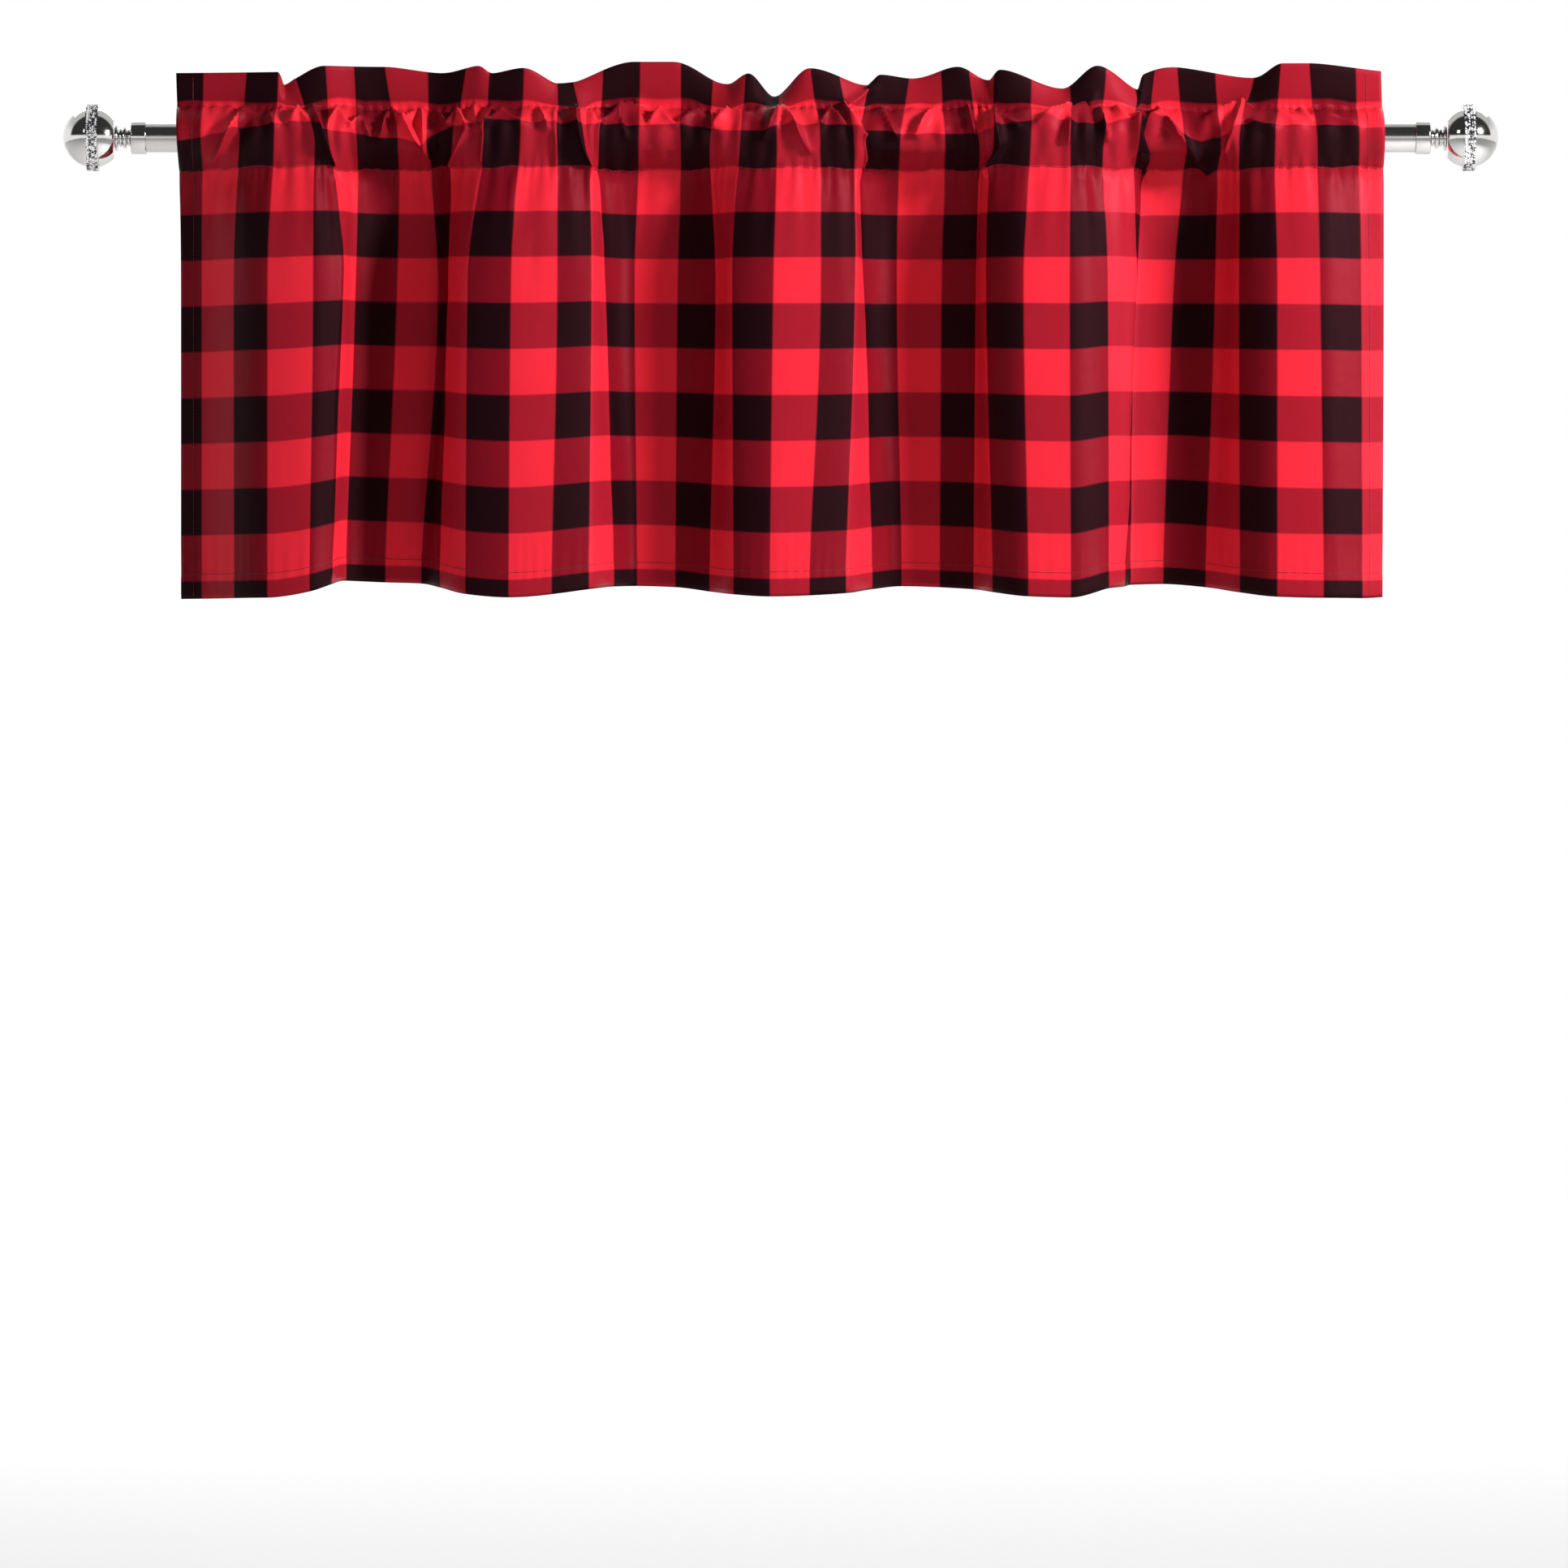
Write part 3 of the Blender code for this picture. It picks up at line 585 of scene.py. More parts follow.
@dataclass
class Cloth:
    """The hung valance: heading, rod pocket, hanging sheet and turned hem as one sheet of cloth."""

    UV_NAME = "checks"
    UV_CHECKS_ACROSS = 40.0
    UV_CHECKS_DOWN = 18.0
    UV_FIRST_CHECK = 4.0
    FIRST_COLUMN = 0.53
    FIRST_ROW = 0.75

    check: float = 38.1 * MM
    checks_across: float = 37.03
    checks_down: float = 12.124
    seam_check: float = 0.84
    stitch_check: float = 2.794
    thickness: float = 0.8 * MM
    ply_gap: float = 0.5 * MM
    rod_clearance: float = 13.6 * MM
    pinch_gain: float = 2.7
    edge_gain: float = 1.15
    crease_pull: float = 0.34
    crease_end: float = 0.6
    crease_power: float = 1.2
    dip_depth: float = 0.32
    dip_reach: float = 2.2
    seam_sway: float = 1.7 * MM

    seam_height: float = 25.0 * MM
    stitch_height: float = -27.0 * MM
    hem_height: float = -383.0 * MM
    hem_turn: float = 20.0 * MM
    heading_level: float = 47.0 * MM
    levels: tuple[float, ...] = (-358.0 * MM, -119.0 * MM, -10.0 * MM, 47.0 * MM)
    heading_mean_top: float = 52.0 * MM
    heading_lean: float = 0.75
    first_row_height: float = 29.5 * MM
    first_row_lift: float = 0.35

    pocket_reach: float = 14.0 * MM
    pocket_fullness: float = 0.75
    pocket_front_share: float = 0.23
    pocket_back_share: float = 0.10
    seam_share: float = 0.22
    stitch_share: float = 0.62
    opening_share: float = 0.22
    deepest: float = 48.0 * MM
    highest: float = 46.0 * MM

    columns: int = 590
    heading_rows: int = 9
    pocket_rows: int = 32
    sheet_rows: int = 15
    hem_rows: int = 6
    back_pocket_rows: int = 7

    def __post_init__(self) -> None:
        """Read the pleat and heading tables at every column."""
        self.checks = np.linspace(0.0, self.checks_across, self.columns)
        pleats = np.array(PLEATS)
        read = smooth_curve(pleats[:, 0], pleats[:, 1:] * MM, self.checks)
        pocket, middle, hem, self.forward, self.rise = read.T
        folds = np.array(HEADING)
        heading, self.top = smooth_curve(folds[:, 0], folds[:, 1:] * MM, self.checks).T
        self.along = np.array([hem, middle, pocket, heading])
        self.spread = self.forward + self.deepest
        edges = np.array(ROW_EDGES)
        self.second_row = smooth_curve(edges[:, 0], edges[:, 1] * MM, self.checks)
        self.first_row = self.first_row_height + (self.top - self.heading_mean_top) * self.first_row_lift

    @property
    def hem_line(self) -> float:
        """Return how many checks down the hem is sewn."""
        return self.checks_down - self.hem_turn / self.check

    def row(self, level: float, forward: np.ndarray, height: Any) -> np.ndarray:
        """Return a row of points this far forward and high, placed along the rod as at a level."""
        along = smooth_curve(self.levels, self.along, np.array([level]))[0]
        return np.stack([along, -forward, np.broadcast_to(height, along.shape)], axis=1)

    def heading_row(self, share: float) -> np.ndarray:
        """Return a row of the heading, from its folded top at share 0 to the seam at 1."""
        lean = (self.top - self.heading_mean_top) * self.heading_lean * (1 - share)
        level = self.heading_level + (self.seam_height - self.heading_level) * share
        height = self.top + (self.seam_height - self.top) * share
        return self.row(level, self.forward * self.seam_share + lean, height)

    def pocket_row(self, share: float, back: bool) -> np.ndarray:
        """Return a row of the pocket's front or back layer, from the seam at share 0 to the stitch."""
        height = self.seam_height + (self.stitch_height - self.seam_height) * share
        straight = self.forward * (self.seam_share * (1 - share) + self.stitch_share * share)
        if back:
            reach = -self.pocket_reach - (self.highest - self.forward) * self.pocket_back_share
            full = share
        else:
            reach = self.pocket_reach + self.spread * self.pocket_front_share
            full = share**self.pocket_fullness
        forward = straight + (reach - straight) * math.sin(math.pi * full)
        return self.row(height, forward, height)

    def checks_at(self, share: float, in_pocket: bool) -> np.ndarray:
        """Return how many checks down each point of a heading or pocket row lies.

        Args:
            share: the row's share of the way down the heading or the pocket's front.
            in_pocket: whether it is a row of the pocket.

        Returns:
            The checks down from the heading's top, for each column.
        """
        if in_pocket:
            knots = (self.seam_height, self.second_row, self.stitch_height)
            values = (self.seam_check, self.FIRST_ROW + 1, self.stitch_check)
        else:
            knots = (self.top, self.first_row, self.seam_height)
            values = (0.0, self.FIRST_ROW, self.seam_check)
        height = knots[0] + (knots[2] - knots[0]) * share
        above = values[0] + (values[1] - values[0]) * (knots[0] - height) / (knots[0] - knots[1])
        below = values[1] + (values[2] - values[1]) * (knots[1] - height) / (knots[1] - knots[2])
        return np.where(height > knots[1], above, below)

    def sheet_row(self, share: float) -> np.ndarray:
        """Return a row of the hanging sheet, from the stitch at share 0 to the hem's edge at 1."""
        level = self.stitch_height + (self.hem_height - self.stitch_height) * share
        fall = min(1.0, share / self.opening_share)
        opened = self.stitch_share + (1 - self.stitch_share) * fall * (2 - fall)
        return self.row(level, self.forward * opened, level + self.rise * share)

    def creased(
        self, grid: np.ndarray, creases: Sequence[Crease], gain: float, held: np.ndarray
    ) -> tuple[np.ndarray, np.ndarray]:
        """Work out what a list of given creases does to the front.

        Args:
            grid: the front's points.
            creases: the creases.
            gain: what their rises are multiplied by.
            held: how much each point takes part, from 0 to 1.

        Returns:
            How far each point is raised, and how far it is drawn along the rod and up.
        """
        rise = np.zeros(grid.shape[:2])
        drawn = np.zeros((*grid.shape[:2], 2))
        place = grid[:, :, (0, 2)]
        for crease in creases:
            start = np.array([crease.along, crease.height]) * MM
            run = np.array([crease.end_along, crease.end_height]) * MM - start
            part = np.clip((place - start) @ run / (run @ run), 0.0, 1.0)
            offset = place - start - part[..., None] * run
            away = np.linalg.norm(offset, axis=2) / (crease.half_width * MM)
            swell = self.crease_end + (1 - self.crease_end) * np.sin(np.pi * part)
            height = crease.rise * gain * MM * held * swell
            ridge = np.exp(-(away**self.crease_power))
            rise += height * (ridge - self.dip_depth * mound(away, 0.0, self.dip_reach))
            drawn -= offset * (height * ridge * self.crease_pull / (crease.half_width * MM))[..., None]
        return rise, drawn

    def gather_rise(self, down: np.ndarray) -> np.ndarray:
        """Return the small gathers along the pocket's two lines of stitching and the hem's.

        Args:
            down: each point's checks down from the heading's top.

        Returns:
            How far each point is raised, in metres.
        """
        across = np.broadcast_to(self.checks, down.shape)
        uneven = 0.6 + 0.4 * np.sin(across * 1.7 + 0.6) * np.sin(across * 0.61 + 2.0)
        fine = np.sin(across * 23.0 + 2.2 * np.sin(across * 2.9))
        broad = np.sin(across * 11.3 + 1.6 * np.sin(across * 1.3 + 1.0))
        seam = mound(down, self.seam_check, np.where(down < self.seam_check, 0.05, 0.34))
        stitch = mound(down, self.stitch_check, 0.28)
        below = np.exp(-np.maximum(down - self.stitch_check, 0.0) / 0.9) * (down > self.stitch_check)
        pocket = np.clip((down - self.seam_check) * (self.stitch_check - down), 0.0, 1.0)
        hem = mound(down, self.hem_line, 0.20)
        rise = (seam * 0.9 + stitch * 0.8) * fine * uneven + (below * 0.9 + pocket * 1.3) * broad
        grooves = mound(down, self.seam_check, 0.07)
        grooves += mound(down, self.stitch_check, 0.06) * 0.9
        grooves += mound(down, self.hem_line, 0.05) * 0.35
        return (rise + hem * fine * 0.38 * uneven - grooves) * MM

    def keep_off_rod(self, grid: np.ndarray) -> np.ndarray:
        """Push points that come nearer the rod's axis than its clearance straight out from it."""
        radius = np.linalg.norm(grid[:, :, 1:], axis=2, keepdims=True)
        push = np.maximum(1.0, self.rod_clearance / np.maximum(radius, 1e-6))
        return np.concatenate([grid[:, :, :1], grid[:, :, 1:] * push], axis=2)

    def front(self) -> tuple[np.ndarray, np.ndarray]:
        """Lay out the front of the cloth.

        Returns:
            The points, a row at a time from the heading's top to the hem, and their checks down.
        """
        heading_shares = [i / self.heading_rows for i in range(self.heading_rows + 1)]
        pocket_shares = [(i + 1) / self.pocket_rows for i in range(self.pocket_rows)]
        heading = [self.heading_row(share) for share in heading_shares]
        pocket = [self.pocket_row(share, back=False) for share in pocket_shares]
        turned = 1 - self.hem_turn / (self.stitch_height - self.hem_height)
        upper = [turned * ((i + 1) / self.sheet_rows) ** 1.25 for i in range(self.sheet_rows)]
        lower = [turned + (1 - turned) * (i + 1) / self.hem_rows for i in range(self.hem_rows)]
        sheet = [self.sheet_row(share) for share in upper + lower]
        pocket_grid = self.keep_off_rod(np.array(pocket))
        grid = np.concatenate([np.array(heading), pocket_grid, np.array(sheet)])
        fall = self.checks_down - self.stitch_check
        down = [self.checks_at(share, in_pocket=False) for share in heading_shares]
        down += [self.checks_at(share, in_pocket=True) for share in pocket_shares]
        down += [np.full(self.columns, self.stitch_check + fall * share) for share in upper + lower]
        down = np.array(down)
        gathers = np.clip((self.stitch_check + 0.9 - down) / 0.6, 0.0, 1.0)
        sheet = np.clip((down - self.stitch_check + 0.15) / 0.3, 0.0, 1.0)
        rise, drawn = self.creased(grid, PINCHES, self.pinch_gain, gathers)
        edge_rise, edge_drawn = self.creased(grid, FOLD_EDGES, self.edge_gain, sheet)
        rise += edge_rise + self.gather_rise(down)
        grid = grid + normals_of(grid) * rise[..., None]
        grid[:, :, (0, 2)] += drawn + edge_drawn
        sewn = mound(down, self.seam_check, 0.4) - mound(down, self.stitch_check, 0.35)
        sway = np.sin(self.checks * 2.1 + 0.4) * np.sin(self.checks * 0.77 + 1.0)
        sway += 0.35 * np.sin(self.checks * 5.3 + np.sin(self.checks * 1.9))
        grid[:, :, 2] += sewn * sway * self.seam_sway
        seam, stitch = self.heading_rows, self.heading_rows + self.pocket_rows
        grid[seam + 1 : stitch + 1] = self.keep_off_rod(grid[seam + 1 : stitch + 1])
        return grid, down

    def sheet(self) -> tuple[np.ndarray, np.ndarray]:
        """Lay out the whole cloth, from the hem's turned-up edge over the front to the pocket's back.

        Returns:
            The points in rows, and their checks down, which turn negative behind the heading.
        """
        front, down = self.front()
        normal = normals_of(front)
        seam, stitch = self.heading_rows, self.heading_rows + self.pocket_rows
        ply = np.zeros(len(front))
        ply[: seam + 1] = self.ply_gap
        ply[seam + 1 : seam + 4] = np.linspace(0.75, 0.25, 3) * self.ply_gap
        forward_face = front + normal * ply[:, None, None]
        crown = front[:1] + np.array([0.0, 0.0, self.ply_gap * 1.2])
        back_heading = (front - normal * self.ply_gap * 1.6)[: seam + 1]
        shares = [i / self.back_pocket_rows for i in range(1, self.back_pocket_rows)]
        pocket = self.keep_off_rod(np.array([self.pocket_row(share, back=True) for share in shares]))
        stitched = (front - normal * self.ply_gap * 2.0)[stitch : stitch + 1]
        back_pocket = np.concatenate([pocket, stitched])
        turned = (front - normal * self.ply_gap * 2.0)[-self.hem_rows :][::2]
        rows = [turned, forward_face[::-1], crown, back_heading, back_pocket]

        turned_down = 2 * self.checks_down - down[-self.hem_rows :][::2]
        back_down = -down[: seam + 1]
        pocket_runs = np.linspace(0.0, 1.0, self.back_pocket_rows + 1)[1:]
        pocket_down = -(self.seam_check + (self.stitch_check - self.seam_check) * pocket_runs)
        pocket_down = np.repeat(pocket_down[:, None], self.columns, axis=1)
        checks_down = [turned_down, down[::-1], np.zeros((1, self.columns)), back_down, pocket_down]
        return np.concatenate(rows), np.concatenate(checks_down)

    def build(self, finish: CheckedClothFinish) -> bpy.types.Object:
        """Make the cloth as one thin sheet.

        Args:
            finish: the checked cloth.

        Returns:
            The finished piece.
        """
        points, down = self.sheet()
        rows, columns = down.shape
        index = np.arange(rows * columns).reshape(rows, columns)
        quads = np.stack([index[:-1, :-1], index[:-1, 1:], index[1:, 1:], index[1:, :-1]], axis=2)
        quads = quads.reshape(-1, 4)
        mesh = bpy.data.meshes.new("hung_cloth")
        mesh.from_pydata(points.reshape(-1, 3).tolist(), [], quads.tolist())
        layer = mesh.uv_layers.new(name=self.UV_NAME)
        across = np.broadcast_to(self.checks, down.shape).reshape(-1) / self.UV_CHECKS_ACROSS
        drop = (down.reshape(-1) + self.UV_FIRST_CHECK) / self.UV_CHECKS_DOWN
        corners = quads.reshape(-1)
        layer.data.foreach_set("uv", np.stack([across[corners], drop[corners]], axis=1).reshape(-1))
        mesh.shade_smooth()
        cloth = Bench.from_mesh("hung_cloth", mesh)
        Bench.pick(cloth)
        body = cloth.modifiers.new("Body", "SOLIDIFY")
        body.thickness = self.thickness
        body.offset = 0.0
        bpy.ops.object.modifier_apply(modifier=body.name)
        Bench.dress(cloth, finish.build(), "checked_cloth")
        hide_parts("valance_cloth")
        return cloth

    def declare(self) -> None:
        length = (self.checks_down + self.stitch_check) * self.check + self.hem_turn


@dataclass
class Stitching:
    """The lines of sewing thread: two round the pocket, one at the hem and one down each side."""

    cloth: Cloth
    stitch_length: float = 2.5 * MM
    pitch: float = 3.4 * MM
    thread_radius: float = 0.22 * MM
    side_hem: float = 12.0 * MM

    def model(self) -> bpy.types.Object:
        """Model one stitch, lying along X, with rounded ends."""
        stitch = Bench.cylinder(6, self.thread_radius, self.stitch_length)
        Bench.choose(stitch, "faces", lambda face: abs(face.normal.x) > 0.9)
        bpy.ops.mesh.inset(thickness=self.thread_radius * 0.45, depth=self.thread_radius * 0.5)
        bpy.ops.object.mode_set(mode="OBJECT")
        return stitch

    def places(self) -> list[np.ndarray]:
        """Return a matrix for each stitch, lying on the cloth's front."""
        grid, down = self.cloth.front()
        normal = normals_of(grid)
        lines = (self.cloth.seam_check + 0.02, self.cloth.stitch_check - 0.03, self.cloth.hem_line)
        found = []
        count = int(self.cloth.checks_across * self.cloth.check / self.pitch)
        for line in lines:
            for i in range(count):
                across = (i + 0.5) / count * (self.cloth.columns - 1)
                found.append(self.lie(grid, normal, down, across, line, along_row=True))
        side = self.side_hem / (self.cloth.checks_across * self.cloth.check) * (self.cloth.columns - 1)
        drops = np.arange(0.15, self.cloth.checks_down - 0.1, self.pitch / self.cloth.check)
        for across in (side, self.cloth.columns - 1 - side):
            for drop in drops:
                found.append(self.lie(grid, normal, down, across, drop, along_row=False))
        return found

    def lie(
        self,
        grid: np.ndarray,
        normal: np.ndarray,
        down: np.ndarray,
        across: float,
        drop: float,
        along_row: bool,
    ) -> np.ndarray:
        """Return the matrix that lays a stitch on the cloth.

        Args:
            grid: the front's points.
            normal: their normals.
            down: their checks down.
            across: the stitch's place in columns.
            drop: its checks down.
            along_row: whether it runs along the rod rather than down the cloth.

        Returns:
            A 4 by 4 matrix.
        """
        column = min(int(across), self.cloth.columns - 2)
        part = across - column
        row = int(np.clip(np.searchsorted(down[:, column], drop) - 1, 0, len(down) - 2))
        gap = down[row + 1, column] - down[row, column]
        fall = float(np.clip((drop - down[row, column]) / max(gap, 1e-6), 0.0, 1.0))
        cell = grid[row : row + 2, column : column + 2]
        left = cell[0, 0] * (1 - fall) + cell[1, 0] * fall
        right = cell[0, 1] * (1 - fall) + cell[1, 1] * fall
        out = normal[row, column]
        run = right - left if along_row else cell[1, 0] - cell[0, 0]
        run = run / np.linalg.norm(run)
        third = np.cross(out, run)
        third /= np.linalg.norm(third)
        place = np.eye(4)
        place[:3, :3] = np.stack([run, third, np.cross(run, third)], axis=1)
        lift = self.cloth.thickness / 2 + self.thread_radius * 0.4
        if drop < self.cloth.seam_check + 0.05:
            lift += self.cloth.ply_gap
        place[:3, 3] = left * (1 - part) + right * part + out * lift
        return place

    def build(self, finish: ThreadFinish) -> bpy.types.Object:
        """Make all the stitches as one piece that lies on the cloth."""
        thread = Bench.copies("sewing_thread", self.model(), self.places(), smooth=True)
        Bench.dress(thread, finish.build(), "checked_cloth")
        return thread


@dataclass
class Rod:
    """The plain polished rod."""

    radius: float = 12.2 * MM
    half_length: float = 537.0 * MM
    rim: float = 1.0 * MM

    def on_rim(self, edge: bmesh.types.BMEdge) -> bool:
        """Return whether an edge lies in one of the rod's end faces."""
        return all(abs(abs(v.co.x) - self.half_length) < 1e-5 for v in edge.verts)

    def build(self, finish: PolishedMetalFinish) -> bpy.types.Object:
        """Make the rod from a cylinder with softened rims."""
        rod = Bench.cylinder(128, self.radius, 2 * self.half_length)
        rod.name = rod.data.name = "polished_rod"
        Bench.choose(rod, "edges", self.on_rim)
        bpy.ops.mesh.bevel(offset=self.rim, segments=3)
        bpy.ops.object.mode_set(mode="OBJECT")
        Bench.round_edges(rod)
        Bench.dress(rod, finish.build(), "rod_metal")
        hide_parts("curtain_rod")
        return rod


class NeckRing(NamedTuple):
    """One ring of the turned neck, in mm along the rod and out from its axis."""

    middle: float
    width: float
    radius: float


NECK_RINGS = tuple(NeckRing(*row) for row in (
    (541.9, 2.6, 7.4), (545.3, 3.8, 9.4), (548.7, 2.6, 8.2), (552.2, 3.4, 11.4),
))


@dataclass
class Finial:
    """One end's collar, ringed neck, ball and band of stones."""

    side: Side
    bore: float = 12.5 * MM
    rod_end: float = 537.3 * MM
    collar_radius: float = 14.0 * MM
    collar_inner: float = 527.5 * MM
    collar_outer: float = 540.0 * MM
    collar_edge: float = 1.0 * MM
    neck_core: float = 5.0 * MM
    neck_start: float = 540.3 * MM
    neck_end: float = 554.0 * MM
    seat: float = 554.3 * MM
    ball_radius: float = 25.0 * MM
    ball_centre: float = 571.8 * MM
    band_width: float = 10.5 * MM
    band_inner: float = 24.0 * MM
    band_outer: float = 27.2 * MM
    groove_floor: float = 23.7 * MM
    groove_gap: float = 0.3 * MM
    stone_rows: int = 4
    stones_round: int = 70
    stone_radius: float = 1.18 * MM
    stone_depth: float = 0.9 * MM
    prong_radius: float = 0.34 * MM
    prong_rise: float = 0.35 * MM
    rail: float = 0.5 * MM

    def turned(
        self, name: str, outline: Outline, metal: bpy.types.Material, slot: str, node: str, **shape: Any
    ) -> None:
        """Turn an outline drawn for the right-hand end into this end's piece, in place of its node."""
        placed = [(self.side.value * along, radius) for along, radius in outline]
        piece = Bench.turn(f"{name}_{self.side.tag}", placed, **shape)
        Bench.dress(piece, metal, slot)
        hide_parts(f"{node}_{self.side.tag}")

    def arc(self, first: float, last: float, steps: int) -> list[tuple[float, float]]:
        """Return points of the ball between two angles from the rod's axis, in degrees."""
        turns = np.radians(np.linspace(first, last, steps))
        radius = self.ball_radius
        return [(self.ball_centre + radius * math.cos(t), radius * math.sin(t)) for t in turns]

    def collar(self, metal: bpy.types.Material) -> None:
        """Make the sleeve that caps the rod."""
        edge = self.collar_edge
        softened = [(1 - math.cos(t), math.sin(t)) for t in np.linspace(0, math.pi / 2, 5)]
        outer_rim = [
            (self.collar_outer - edge * (1 - side), self.collar_radius - edge * (1 - out))
            for side, out in ((1 - a, b) for a, b in softened[::-1])
        ]
        inner_rim = [
            (self.collar_inner + edge * a * 0.6, self.collar_radius - edge * 0.6 * (1 - b))
            for a, b in softened
        ]
        outline = [(self.rod_end, 0.0), (self.rod_end, self.bore), (self.collar_inner, self.bore)]
        outline += [*inner_rim, *outer_rim, (self.collar_outer, 0.0)]
        self.turned("collar_sleeve", outline, metal, "collar_metal", "collar")

    def neck(self, metal: bpy.types.Material) -> None:
        """Make the slim neck with its rounded rings."""
        outline = [(self.neck_start, 0.0), (self.neck_start, self.neck_core)]
        for ring in NECK_RINGS:
            half, rise = ring.width / 2 * MM, ring.radius * MM - self.neck_core
            for turn in np.linspace(0.0, math.pi, 13):
                along = ring.middle * MM - half * math.cos(turn)
                outline.append((along, self.neck_core + rise * math.sin(turn) ** 0.6))
        outline += [(self.neck_end, self.neck_core), (self.neck_end, 0.0)]
        self.turned("ringed_neck", outline, metal, "finial_metal", "finial_neck")

    def ball(self, metal: bpy.types.Material) -> None:
        """Make the ball with a flat seat for its neck and a groove for its band."""
        half = self.band_width / 2 + self.groove_gap
        seat = 180.0 - math.degrees(math.acos((self.ball_centre - self.seat) / self.ball_radius))
        groove = math.degrees(math.acos(half / self.ball_radius))
        outline = [(self.seat, 0.0), *self.arc(seat, 180.0 - groove, 22)]
        outline += [(self.ball_centre + end, self.groove_floor) for end in (-half, half)]
        outline += self.arc(groove, 0.0, 34)
        outline[-1] = (outline[-1][0], 0.0)
        self.turned("polished_ball", outline, metal, "finial_metal", "finial_ball", steps=128)

    def band(self, metal: bpy.types.Material, glass: bpy.types.Material) -> None:
        """Make the band's setting, its rows of cut stones and the prongs between them."""
        rail, top = self.rail, self.band_outer + self.rail
        near, far = self.ball_centre - self.band_width / 2, self.ball_centre + self.band_width / 2
        outline = [(far, self.band_inner), (near, self.band_inner), (near, top), (near + rail, top)]
        outline += [(near + rail, self.band_outer), (far - rail, self.band_outer)]
        outline += [(far - rail, top), (far, top)]
        self.turned("band_setting", outline, metal, "finial_metal", "stone_band", closed=True)
        pitch = (self.band_width - 2 * rail) / self.stone_rows
        start = near + rail + pitch / 2
        stones, prongs = [], []
        for row in range(self.stone_rows):
            for i in range(self.stones_round):
                turn = math.tau * (i + 0.5 * (row % 2)) / self.stones_round
                stones.append(self.set_out(start + row * pitch, turn, self.band_outer))
                if row + 1 < self.stone_rows:
                    between = turn + math.tau * 0.25 / self.stones_round
                    along = start + (row + 0.5) * pitch
                    prongs.append(self.set_out(along, between, self.band_outer + self.prong_rise))
        cut = Bench.copies(f"band_stones_{self.side.tag}", self.stone(), stones, smooth=False)
        Bench.dress(cut, glass, "band_stones")
        Bench.deselect()
        bpy.ops.mesh.primitive_ico_sphere_add(subdivisions=1, radius=self.prong_radius)
        beads = Bench.copies(f"band_prongs_{self.side.tag}", bpy.context.active_object, prongs, smooth=True)
        Bench.dress(beads, metal, "finial_metal")

    def stone(self) -> bpy.types.Object:
        """Model one cut stone, its table facing +Z."""
        stone = Bench.cylinder(8, self.stone_radius, self.stone_depth * 0.4, lying=False)
        Bench.choose(stone, "faces", lambda face: face.normal.z > 0.9)
        bpy.ops.mesh.inset(thickness=self.stone_radius * 0.22, depth=self.stone_depth * 0.42)
        bpy.ops.mesh.inset(thickness=self.stone_radius * 0.28, depth=self.stone_depth * 0.18)
        bpy.ops.object.mode_set(mode="OBJECT")
        return stone

    def set_out(self, along: float, turn: float, radius: float) -> np.ndarray:
        """Return the matrix that stands a stone on the band, from its place, angle and radius."""
        out = np.array([0.0, -math.sin(turn), math.cos(turn)])
        first = np.array([1.0, 0.0, 0.0])
        place = np.eye(4)
        place[:3, :3] = np.stack([first, np.cross(out, first), out], axis=1)
        place[:3, 3] = out * radius + first * along * self.side.value
        return place

    def build(self, metal: bpy.types.Material, collar: bpy.types.Material, glass: bpy.types.Material) -> None:
        """Make all of this end's pieces."""
        self.collar(collar)
        self.neck(metal)
        self.ball(metal)
        self.band(metal, glass)


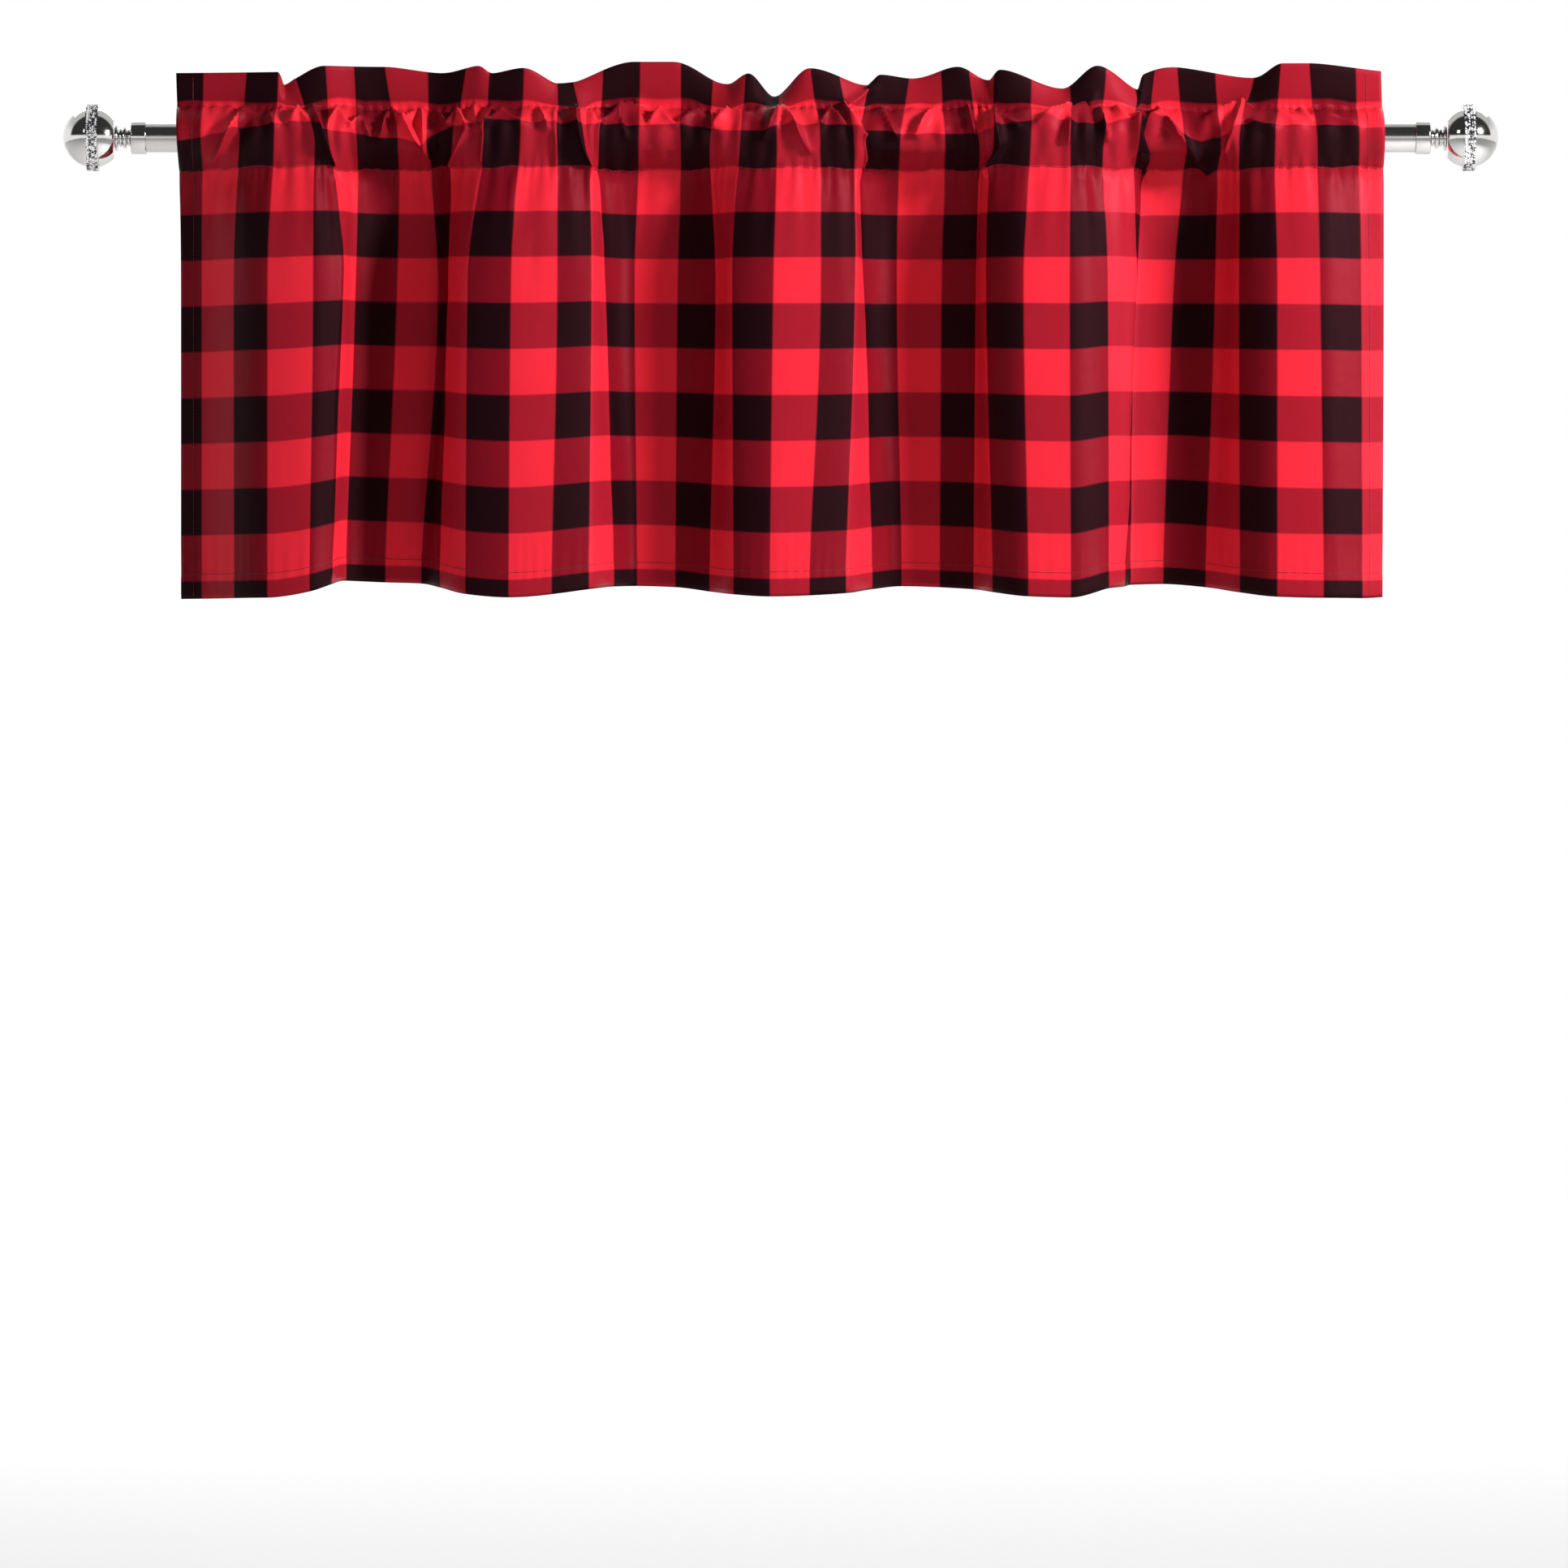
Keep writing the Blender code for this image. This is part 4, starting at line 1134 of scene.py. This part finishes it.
@dataclass
class Studio:
    """The plain floor, the soft lights, the pale surroundings and the camera."""

    scale_mm_per_pixel: float = 0.675
    photo_pixels: float = 1932.0
    rod_axis_pixel: float = 169.5
    middle_pixel: float = 962.0
    distance: float = 8.0
    sensor: float = 36.0
    floor_height: float = -1.5
    floor_half: float = 14.0
    back_half_start: float = -0.02
    back_half_blend: float = 0.12
    front_tones: Outline = ((0.0, 1.0), (0.085, 1.0), (0.12, 0.03), (1.0, 0.04))
    back_tones: Outline = ((0.0, 1.0), (0.25, 1.0), (0.55, 0.62))

    def camera(self) -> None:
        """Set the camera straight on to the rod, at the height of the photograph's middle."""
        half = self.photo_pixels / 2
        frame_width = self.photo_pixels * self.scale_mm_per_pixel * MM
        lens = bpy.data.cameras.new("camera")
        lens.sensor_width = self.sensor
        lens.lens = self.sensor * self.distance / frame_width
        lens.clip_end = 100.0
        camera = bpy.data.objects.new("camera", lens)
        along = (half - self.middle_pixel) * self.scale_mm_per_pixel * MM
        height = (self.rod_axis_pixel - half) * self.scale_mm_per_pixel * MM
        camera.location = (along, -self.distance, height)
        camera.rotation_euler = (math.pi / 2, 0.0, 0.0)
        bpy.context.scene.collection.objects.link(camera)
        bpy.context.scene.camera = camera

    def light(
        self, name: str, place: Point, size: float, power: float, target: Point = (0.0, 0.0, -0.15)
    ) -> None:
        """Add a square soft light of this side in metres and power in watts, facing a target."""
        lamp = bpy.data.lights.new(name, "AREA")
        lamp.size = size
        lamp.energy = power
        holder = bpy.data.objects.new(name, lamp)
        holder.location = place
        aim = Vector(target) - Vector(place)
        holder.rotation_euler = aim.to_track_quat("-Z", "Y").to_euler()
        bpy.context.scene.collection.objects.link(holder)

    def surroundings(self) -> None:
        """Make the world pale at eye level and behind the valance, and dim high up in front of it."""
        graph = Graph("pale_studio", world=True)
        place = graph.node("ShaderNodeTexCoord").outputs["Generated"]
        parts = graph.node("ShaderNodeSeparateXYZ", None, {0: place}).outputs
        start = self.back_half_start
        stretch = {"Value": parts[1], "From Min": start, "From Max": start + self.back_half_blend}
        behind = graph.node("ShaderNodeMapRange", None, stretch).outputs["Result"]
        tones = []
        for stops in (self.front_tones, self.back_tones):
            ramp = graph.node("ShaderNodeValToRGB", None, {0: parts[2]})
            steps = ramp.color_ramp.elements
            while len(steps) < len(stops):
                steps.new(1.0)
            for step, (at, value) in zip(steps, stops):
                step.position = at
                step.color = (value, value, value, 1.0)
            tones.append(ramp.outputs[0])
        bpy.context.scene.world = graph.dress({"Color": graph.blend(behind, *tones)})
        bpy.context.scene.view_settings.view_transform = "Standard"

    def floor(self) -> None:
        """Add the floor, far enough down to lie under the hung valance."""
        Bench.deselect()
        bpy.ops.mesh.primitive_plane_add(size=2 * self.floor_half, location=(0, 0, self.floor_height))
        floor = bpy.context.active_object
        floor.name = "floor"
        floor.data.materials.append(FloorFinish().build())

    def build(self) -> None:
        """Make the whole studio."""
        self.floor()
        self.surroundings()
        self.light("key", (2.1, -1.48, 0.8), 0.5, 106.0)
        self.light("fill", (-2.4, -3.2, 1.5), 0.8, 5.0)
        self.light("floor_wash", (0.0, 11.5, 6.0), 12.0, 1050.0, (0.0, 11.5, 0.0))
        self.camera()


def main() -> None:
    """Build the valance, the rod, its finials and the studio, in that order."""
    logging.basicConfig(level=logging.INFO, format="%(name)s: %(message)s")
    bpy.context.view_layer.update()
    valance = Cloth()
    cloth = valance.build(CheckedClothFinish())
    thread = Stitching(valance).build(ThreadFinish())
    valance.declare()
    Rod().build(PolishedMetalFinish("polished_rod_metal"))
    metal = PolishedMetalFinish("polished_finial_metal", roughness=0.05).build()
    collar = PolishedMetalFinish("polished_collar_metal", colour=(0.76, 0.75, 0.74), roughness=0.08).build()
    glass = StoneFinish().build()
    for side in Side:
        Finial(side).build(metal, collar, glass)
    Studio().build()
    Bench.deselect()


if __name__ == "__main__":
    main()
